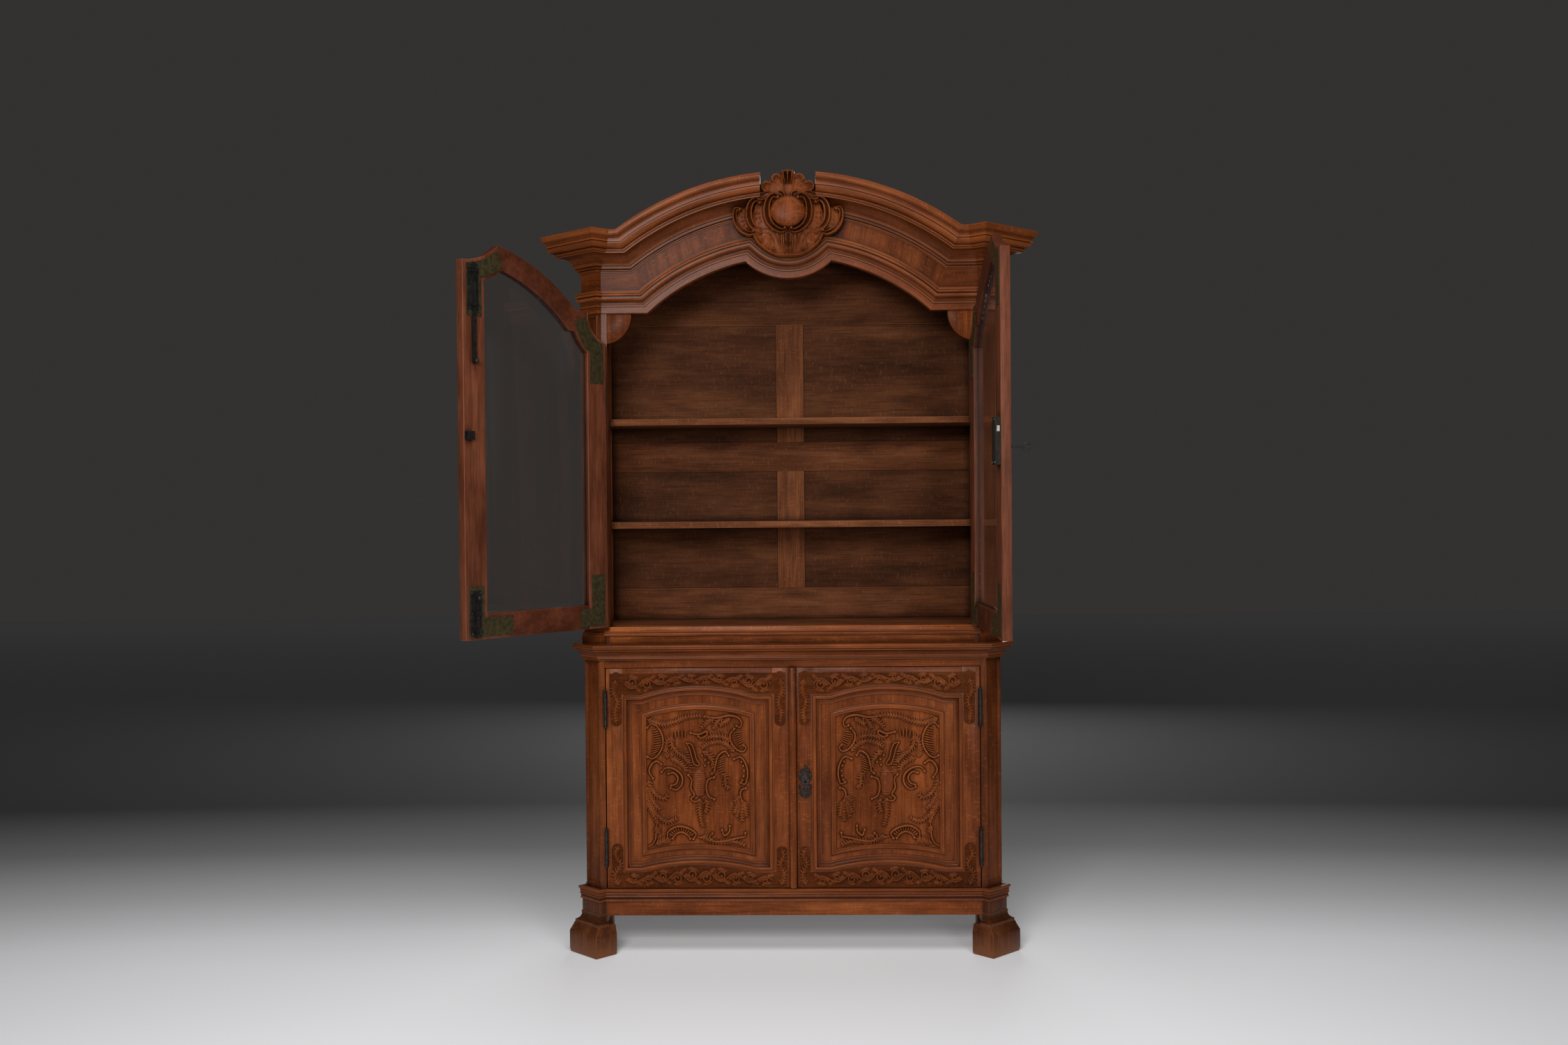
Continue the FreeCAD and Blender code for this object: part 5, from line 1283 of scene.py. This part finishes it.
def field_carving():
    """Scrolls, leaves and shells on the raised field, each kind with its own width and height."""
    carving = Carving((-172, -222), (172, 250), pitch=1.3)
    x, z = carving.x * 1000, carving.z * 1000
    inside = np.minimum.reduce([
        FIELD_HALF - FIELD_RIM - np.abs(x),
        FIELD_HIGH - FIELD_RIM + bow(x, FIELD_HALF, HEAD_RISE) - z,
        z - FIELD_LOW - FIELD_RIM - bow(x, FIELD_HALF, FOOT_RISE),
    ]) / 1000
    carving.lay(WHOLE, 0 * x, inside)
    carving.fence = inside
    carving.dome(3, 4, 22, 42, 2, 4, 3)
    for first, last, count in FIELD_FLUTES:
        carving.flutes(first, last, count, width=2.7, height=5.5)
    for line in FIELD_FRONDS:
        carving.frond(line, spacing=9, length=14, width=3.0, height=6.5)
    for line in FIELD_STEMS:
        carving.stroke(line, (2, 3.4, 2), (6, 7, 6))
    for line in FIELD_EDGES:
        carving.stroke(line, (2.6,), (7.5,))
    for line in FIELD_SCROLLS:
        carving.stroke(line, (2.2, 3.4, 4, 3.4, 2.2), (7, 8, 8.4, 8, 7))
        for place in (line[0], line[-1]):
            carving.button(*place, radius=4.4, height=8.8)
    for place in FIELD_BEADS:
        carving.button(*place, radius=4, height=7)
    ground, back = PANEL_FACE - FIELD_LIFT, PANEL_FACE + CARVING_SINK
    return carving.mesh("left_field_carving", ground, DOOR_MIDDLE, back, **DOOR_WAX_AND_SHADE)


# Carved rails of the cupboard doors, in millimetres from the middle of the left panel
RAIL_PITCH = 1.5
RAIL_HALF = 278
RAIL_GAP = 7
RAIL_GROUND = 0.4
RAIL_WAVE = 92
RAIL_REACH = 230
TONGUE_HALF = 18
# Leaves beside each bend of the stem: where they start, how high, and how far they climb
LEAF_RUN = (0, 12, 26)
RAIL_LEAVES = ((-20, -0.2, 0.75), (2, 0.1, 0.75), (-8, -0.85, 0.3))
HEAD_RAIL = SimpleNamespace(
    up=1, low=(-281, 184), high=(281, 356), edge=353, inner=OPENING_HIGH + RAIL_GAP, rise=HEAD_RISE,
    tongues=((-257, 340, 204), (260, 340, 202)),
    drops=(((-259, 330), (-267, 296), (-253, 262), (-262, 228), (-257, 196)),
           ((261, 330), (268, 296), (255, 262), (264, 228), (259, 194))),
)
FOOT_RAIL = SimpleNamespace(
    up=-1, low=(-281, -324), high=(281, -180), edge=-322, inner=OPENING_LOW - RAIL_GAP, rise=FOOT_RISE,
    tongues=((-257, -303, -202), (262, -303, -212)),
    drops=(((-255, -316), (-267, -285), (-248, -252), (-264, -222), (-255, -194)),
           ((260, -316), (271, -285), (256, -252), (268, -225), (262, -204))),
)


def running_scroll(carving, rail):
    """A wavy stem along the rail, with a curl in each bend and leaves that fill the band beside it."""
    outer = rail.edge - rail.up

    def sway(x):
        return math.sin(2 * math.pi * x / RAIL_WAVE)

    def place(x, share):
        """Point of the band at this place, from share -1 to 1 across it, and half the band's width."""
        inner = rail.inner + rail.up + float(bow(x, SHOULDER_REACH, rail.rise))
        half = abs(outer - inner) / 2 - 2
        return np.array([x, (outer + inner) / 2 + share * half]), half

    for x in np.arange(-RAIL_REACH + RAIL_WAVE / 4, RAIL_REACH, RAIL_WAVE / 2):
        side = 1 if sway(x) > 0 else -1
        for start, lift, climb in RAIL_LEAVES:
            rises = [side * (lift + climb * run / LEAF_RUN[-1]) for run in LEAF_RUN]
            leaf = [place(x + start + run, rise)[0] for run, rise in zip(LEAF_RUN, rises)]
            carving.frond(leaf, spacing=6, length=8, width=2.6, height=4.0)
        middle, half = place(x, -side * 0.18)
        curl = []
        for turn in np.linspace(0, 1, 12):
            angle = side * (1.5 - 7 * turn)
            reach = 0.52 * half * (1 - 0.7 * turn)
            curl.append(middle + reach * np.array([math.cos(angle), math.sin(angle)]))
        carving.stroke(curl, (2.4, 2.2, 1.6), (5.6, 5.4, 5))
        carving.button(*curl[-1], radius=3, height=5.8)
    stem = [place(x, 0.5 * sway(x))[0] for x in np.linspace(-RAIL_REACH, RAIL_REACH, 61)]
    carving.stroke(stem, (1.8, 2.4, 2.4, 1.8), (5, 5.4, 5.4, 5))


def rail_carving(name, rail):
    """A carved band along the rail, with a tongue and a leaf drop down each stile."""
    carving = Carving(rail.low, rail.high, RAIL_PITCH)
    x, z = carving.x * 1000, carving.z * 1000
    above = rail.up * (z - rail.inner - bow(x, SHOULDER_REACH, rail.rise))
    band = np.minimum.reduce([rail.up * (rail.edge - z), above, RAIL_HALF - np.abs(x)]) / 1000
    carving.lay(WHOLE, RAIL_GROUND / 1000 + 0 * x, band)
    for place, start, end in rail.tongues:
        line = ((place, start), (place, (start + end) / 2), (place, end))
        carving.stroke(line, (TONGUE_HALF,), (RAIL_GROUND,), "flat")
    carving.fence = carving.cover.copy()
    for line in rail.drops:
        carving.frond(line, spacing=9, length=12, width=2.6, height=4.6)
        carving.stroke(line, (2, 2.8, 1.6), (4.6, 5.4, 4))
    running_scroll(carving, rail)
    return carving.mesh(name, FRONT, DOOR_MIDDLE, FRONT + CARVING_SINK, ground_wax_and_shade=0.6, **DOOR_WAX_AND_SHADE)


# Cupboard doors
FIELD_BORDER = section(
    (0, 0), (22, 0), (21, 2, -0.2), (19, 4.5), (18, 6, 0.2), (8, 6), (6, 5), (5, 3), (0, 1, -0.15),
)
OPENING_MOULD = section(
    (-3, -2), (0, -11), (26, -11), (26, -8.5), (23, -6, 0.25), (20, -6.5), (11, -1.5, -0.18), (10, 0.5),
    (5, 6, 0.3), (0, 0.5, 0.3), (-3, 0),
)


def mirrored_copy(item, name):
    """The same piece on the other side of the cabinet."""
    mesh = item.data.copy()
    mesh.name = name
    mesh.transform(Matrix.Scale(-1, 4, (1, 0, 0)))
    mesh.flip_normals()
    return placed(name, mesh)


def panel_board():
    low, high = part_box("left_cupboard_panel")
    places = [(low.x, low.z), (high.x, low.z), (high.x, high.z), (low.x, high.z)]
    verts = [(x, y, z) for y in (PANEL_FACE, high.y) for x, z in places]
    faces = [(0, 1, 2, 3), (7, 6, 5, 4), (0, 4, 5, 1), (1, 5, 6, 2), (2, 6, 7, 3), (3, 7, 4, 0)]
    return mend(new_object("left_panel_board", verts, faces))


def cupboard_doors():
    """Panel, mouldings and carving of the left door, and their mirror images on the right one."""
    field = panel_outline(FIELD_HALF, FIELD_LOW, FIELD_HIGH, 0)
    opening = panel_outline(OPENING_HALF_WIDTH, OPENING_LOW, OPENING_HIGH, OPENING_SHOULDER)
    border = moulding(door_path(field, PANEL_FACE), FIELD_BORDER, FORWARD, closed=True)
    mould = moulding(door_path(opening, FRONT), OPENING_MOULD, FORWARD, closed=True)
    pieces = {
        "panel_board": (panel_board(), oak_upright, 32),
        "field_border": (border, oak_path, 32),
        "panel_mould": (mould, oak_path, 32),
        "field_carving": (field_carving(), carved_upright, 60),
        "head_carving": (rail_carving("head", HEAD_RAIL), carved_level, 60),
        "foot_carving": (rail_carving("foot", FOOT_RAIL), carved_level, 60),
    }
    for label, (item, finish, sharp) in pieces.items():
        renamed(item, f"left_{label}")
        other = mirrored_copy(item, f"right_{label}")
        for piece, hand in ((item, "left"), (other, "right")):
            node = [f"{hand}_cupboard_panel"] if label == "panel_board" else []
            finish_piece(piece, f"{hand}_cupboard_door", "oak", finish, node, sharp)


cupboard_doors()


# Brass plates, screws and the iron escutcheon; the glazed doors are drawn shut and then hung open
GLAZED_PIN = (0.583, -0.1803)
GLAZED_INSIDE = -0.159
PLATE_THICK = 0.0008
EAR_MIDDLE = (-586.9, 2019.1)
PENDANT_MIDDLE = (0, 1000 * PENDANT_CENTRE)


def hung(item, hand):
    """A piece of a shut glazed door, turned to where the door stands open."""
    side = -1 if hand == "left" else 1
    pin = Vector((side * GLAZED_PIN[0], GLAZED_PIN[1], 0))
    swing = Matrix.Rotation(math.radians(side * OPEN_ANGLE[hand]), 4, "Z")
    item.data.transform(Matrix.Translation(pin) @ swing @ Matrix.Translation(-pin))
    return item


def round_edge(middle, radius, first, last):
    """Points along an arc, its angles in degrees against the clock from the right."""
    x, z = middle
    angles = np.radians(np.linspace(first, last, 9))
    return [(x + radius * math.cos(angle), z + radius * math.sin(angle)) for angle in angles]


def corner_plates():
    """Outlines of the angle plates on the left door's four joints, in millimetres."""
    foot_meeting = [(-14, 1046), (-178, 1046), (-178, 1102), (-70, 1102), (-70, 1192), (-14, 1192)]
    foot_hinge = [(-558, 1046), (-452, 1046), (-452, 1102), (-502, 1102), (-502, 1205), (-558, 1205)]
    head_meeting = round_edge(PENDANT_MIDDLE, 208, -94, -129) + round_edge(PENDANT_MIDDLE, 256, -126, -106)
    head_meeting += [(-70, 1968), (-14, 1968)]
    head_hinge = round_edge(EAR_MIDDLE, 100, -74, -8) + round_edge(EAR_MIDDLE, 150, -12, -56)
    head_hinge += [(-502, 1800), (-558, 1800)]
    return foot_meeting, foot_hinge, head_meeting, head_hinge


PLATE_SCREWS = (
    (-95, 1060), (-130, 1088), (-165, 1060), (-466, 1074), (-490, 1056), (-545, 1060), (-516, 1130),
    (-545, 1190), (-84, 2100), (-112, 2118), (-62, 1978), (-516, 1812), (-545, 1850), (-530, 1900),
    (-470, 1960), (-450, 2000),
)
BOLT_SCREWS = [(x, z) for x in (-53.5, -22.5) for z in (1057, 1116, 1175, 1991, 2050, 2109)]
LOCK_SCREWS = [(x, z) for x in (10, 54) for z in (1532, 1650)]
GUIDE_FACE = GLAZED_INSIDE + 0.0025
LOCK_FACE = GLAZED_INSIDE + 0.016
SCREW_RADIUS = 0.003
SCREW_HEIGHT = 0.0011


def sheet_piece(name, outlines, hand):
    """Thin plates on the inside of a glazed door, cut to the given outlines."""
    side = 1 if hand == "left" else -1
    work = bmesh.new()
    for outline in outlines:
        rim = [work.verts.new((side * x / 1000, GLAZED_INSIDE, z / 1000)) for x, z in outline]
        for vert in corners_of(bmesh.ops.extrude_face_region(work, geom=[work.faces.new(rim)])):
            vert.co.y += PLATE_THICK
    cut_wide_faces(work)
    bmesh.ops.recalc_face_normals(work, faces=work.faces)
    return hung(shaped(name, work), hand)


def screw_head():
    """A slotted screw head: a low disc that carries two half moons."""
    work = bmesh.new()
    radius, height = SCREW_RADIUS, SCREW_HEIGHT

    def prism(outline, top, taper):
        low = [work.verts.new((x, y, 0)) for x, y in outline]
        high = [work.verts.new((taper * x, taper * y, top)) for x, y in outline]
        work.faces.new(low[::-1])
        work.faces.new(high)
        for corners in walls(low, high):
            work.faces.new(corners)

    whole = np.linspace(0, 2 * math.pi, 12, endpoint=False)
    prism([(radius * math.cos(angle), radius * math.sin(angle)) for angle in whole], 0.45 * height, 1.0)
    half = np.radians(np.linspace(-75, 75, 7))
    for side in SIDES:
        prism([(side * radius * math.cos(angle), radius * math.sin(angle)) for angle in half], height, 0.9)
    bmesh.ops.recalc_face_normals(work, faces=work.faces)
    return shaped("screw_head", work)


def screw_rule():
    """Node tree: one screw head on each place, facing its own way, its slot turned at random."""
    inputs = (("Places", "Geometry"), ("Head", "Object"), ("Seed", "Int"), ("Finish", "Material"))
    tree, add = rule_tree("screws", inputs, "Screws")
    given = add("NodeGroupInput").outputs
    links = {"Name": "outward"}
    facing = add("GeometryNodeInputNamedAttribute", links, data_type="FLOAT_VECTOR").outputs["Attribute"]
    turned = add("FunctionNodeAlignRotationToVector", {"Vector": facing}, axis="Z").outputs["Rotation"]
    links = {2: 0.0, 3: math.pi, "Seed": given["Seed"]}
    spin = add("FunctionNodeRandomValue", links, data_type="FLOAT").outputs[1]
    spin = add("FunctionNodeAxisAngleToRotation", {"Axis": UP, "Angle": spin}).outputs["Rotation"]
    links = {"Rotation": turned, "Rotate By": spin}
    turned = add("FunctionNodeRotateRotation", links, rotation_space="LOCAL").outputs[0]
    head = add("GeometryNodeObjectInfo", {"Object": given["Head"]}).outputs["Geometry"]
    links = {"Points": given["Places"], "Instance": head, "Rotation": turned}
    body = add("GeometryNodeInstanceOnPoints", links).outputs[0]
    close_rule(add, body, given["Finish"], "Screws")
    return tree


SCREW_RULE = screw_rule()


def screws(name, places, seed, finish):
    """Screw heads at the given places on the inside of a shut door."""
    head = screw_head()
    spots = new_object("spots", places, [], {"outward": np.tile(BACKWARD, (len(places), 1))})
    made = grown(spots, SCREW_RULE, head=head, seed=seed, finish=finish)
    bpy.data.objects.remove(head)
    return renamed(made, name)


def door_fittings():
    """Brass plates on both glazed doors, with the screws of plates, bolt guides and lock case."""
    for hand, side, steel in (
        ("left", 1, ("bolt_screws", BOLT_SCREWS, GUIDE_FACE, "worn_steel")),
        ("right", -1, ("lock_screws", LOCK_SCREWS, LOCK_FACE, "worn_steel")),
    ):
        door = f"{hand}_glazed_door"
        plates = sheet_piece(f"{hand}_brass_plates", corner_plates(), hand)
        finish_piece(plates, door, "dull_brass", dull_brass, [f"{hand}_corner_plates"])
        spots = [(side * x, z) for x, z in PLATE_SCREWS]
        brass = ("plate_screws", spots, GLAZED_INSIDE + PLATE_THICK, "dull_brass")
        for seed, (label, spots, face, slot) in enumerate((brass, steel)):
            places = [(x / 1000, face, z / 1000) for x, z in spots]
            row = screws(f"{hand}_{label}", places, seed, SLOT_LOOK[slot])
            finish_piece(hung(row, hand), door, slot)


door_fittings()

# Iron escutcheon of the cupboard: pierced scrolls round the keyhole, drawn in millimetres from its middle
ESCUTCHEON_MIDDLE = (0.03875, 0.546)
KEYHOLE_RADIUS = 3
KEYHOLE_SLOT = 2.6
KEYHOLE_DROP = 4


def escutcheon():
    """Pierced plate: a spine with curls and small leaves round the keyhole."""
    plate = Carving((-22, -57), (22, 57), pitch=0.6)
    plate.dome(0, 2, 12, 16, 1.2, 1.8)
    spine = ((0, -50), (1, -30), (0, 0), (-1, 30), (0, 50))
    plate.stroke(spine, (1.5, 5, 6, 5, 1.5), (0.8, 1.2, 1.2, 1.2, 0.8), "flat")
    curls = (
        ((-4, 20), (-11, 24), (-17, 17), (-15, 7), (-8, 3), (-5, 8)),
        ((-5, -8), (-13, -8), (-18, -17), (-13, -27), (-5, -27), (-5, -20)),
        ((-2, 34), (-9, 38), (-12, 32), (-8, 27)),
        ((-1, -36), (-8, -38), (-10, -45), (-5, -47)),
    )
    for line in curls:
        plate.stroke(line, (1.6, 2.6, 3, 2.6, 1.6), (2.2, 3, 3.2, 3, 2.2), mirror=True)
        plate.button(*line[-1], radius=2.6, height=3.4, mirror=True)
    for side in SIDES:
        tip = ((0, side * 34), (side * 4, side * 44), (-side * 2, side * 54))
        plate.stroke(tip, (2, 4, 0.8), (2.6, 3.2, 1.5), "leaf", 3)
        for leaf in (((12, 12), (18, 24), (15, 34)), ((12, -28), (17, -36), (12, -45))):
            plate.stroke([(side * x, z) for x, z in leaf], (2, 3.4, 0.8), (2.4, 2.8, 1.2), "leaf", 3)
    x, z = plate.x * 1000, plate.z * 1000
    slot = np.maximum(np.abs(x) - KEYHOLE_SLOT / 2, np.abs(z + KEYHOLE_DROP) - KEYHOLE_DROP)
    plate.fence = np.minimum(np.hypot(x, z) - KEYHOLE_RADIUS, slot) / 1000
    return plate.mesh("iron_escutcheon", FRONT, ESCUTCHEON_MIDDLE, FRONT + 0.0005, depth=0.0012)


finish_piece(escutcheon(), "right_cupboard_door", "black_iron", black_iron, ["escutcheon"], sharp=60)


# Floor, light and camera
FLOOR_SHIFT = (0, 1.0, 0)
FLOOR_STRETCH = (0.3, 1, 1)
FLOOR_REACH = 14
# Distance from the shifted, stretched middle of the floor, and its tone there: a painted pool of light,
# pale round the cabinet, dark a few metres out and paler again towards the far edge
FLOOR_LIGHT_POOL_TONES = ((0.9, 0.90), (1.13, 0.86), (1.66, 0.55), (2.37, 0.23), (3.3, 0.055), (14, 0.38))
FLOOR_BLUE = 1.02
AIR_COLOUR = (0.80, 0.80, 0.81, 1)
AIR_STRENGTH = 0.09
WALL_COLOUR = (0.034, 0.0315, 0.030, 1)


def studio_floor():
    work = bmesh.new()
    corners = ((-1, -1), (1, -1), (1, 1), (-1, 1))
    work.faces.new([work.verts.new((FLOOR_REACH * x, FLOOR_REACH * y, 0)) for x, y in corners])
    floor = shaped("studio_floor", work)
    pale = Finish("pale_floor")
    links = {
        "Vector": pale.add("ShaderNodeTexCoord").outputs["Object"],
        "Location": FLOOR_SHIFT,
        "Scale": FLOOR_STRETCH,
    }
    place = pale.add("ShaderNodeMapping", links).outputs["Vector"]
    away = pale.add("ShaderNodeVectorMath", {0: place}, operation="LENGTH").outputs["Value"]
    stops = [(reach / FLOOR_REACH, (shade, shade, FLOOR_BLUE * shade)) for reach, shade in FLOOR_LIGHT_POOL_TONES]
    pale.set(Base_Color=pale.ramp(pale.math("DIVIDE", away, FLOOR_REACH), stops), Roughness=0.8)
    floor.data.materials.append(pale.material)


def studio_air():
    """Soft light from all round; the camera, reflections and glass see a dark wall instead."""
    world = bpy.data.worlds.new("studio_air")
    world.use_nodes = True
    scene.world = world
    tree = world.node_tree
    light = tree.nodes["Background"]
    plug(tree, light.inputs["Color"], AIR_COLOUR)
    plug(tree, light.inputs["Strength"], AIR_STRENGTH)
    wall = add_node(tree, "ShaderNodeBackground", {"Color": WALL_COLOUR})
    rays = add_node(tree, "ShaderNodeLightPath").outputs
    seen = rays["Is Camera Ray"]
    for kind in ("Is Glossy Ray", "Is Transmission Ray"):
        seen = add_node(tree, "ShaderNodeMath", {0: seen, 1: rays[kind]}, operation="MAXIMUM").outputs[0]
    links = {"Fac": seen, 1: light.outputs["Background"], 2: wall.outputs["Background"]}
    mix = add_node(tree, "ShaderNodeMixShader", links)
    plug(tree, tree.nodes["World Output"].inputs["Surface"], mix.outputs["Shader"])


def softbox(name, place, aim, size, power):
    """A large soft lamp, which doesn't show through the glass."""
    lamp = bpy.data.lights.new(name, "AREA")
    lamp.shape = "RECTANGLE"
    lamp.size, lamp.size_y = size
    lamp.energy = power
    item = placed(name, lamp)
    item.location = place
    item.rotation_euler = (Vector(aim) - Vector(place)).to_track_quat("-Z", "Y").to_euler()
    item.visible_transmission = False


def photo_camera():
    """The photo's point of view."""
    lens = bpy.data.cameras.new("photo_camera")
    lens.sensor_width = 36.0
    lens.lens = 34.99
    lens.shift_x, lens.shift_y = 0.01523, -0.00255
    item = placed("photo_camera", lens)
    item.location = (0.01896, -4.9653, 1.42886)
    item.rotation_euler = [math.radians(angle) for angle in (89.3664, 0.5065, 1.3680)]
    scene.camera = item


studio_floor()
studio_air()
softbox("key_light", (-0.9, -4.9, 2.7), aim=(0, 0, 1.0), size=(1.6, 1.2), power=152)
softbox("fill_light", (1.7, -4.8, 1.5), aim=(0.2, 0, 0.6), size=(1.4, 1.4), power=48)
softbox("floor_light", (0, -2.6, 4.8), aim=(0, -1.9, 0), size=(3.4, 2.0), power=90)
softbox("back_light", (0.4, 5.2, 2.6), aim=(0, 0, 1.2), size=(2.6, 1.8), power=70)
photo_camera()
scene.view_settings.view_transform = "Standard"
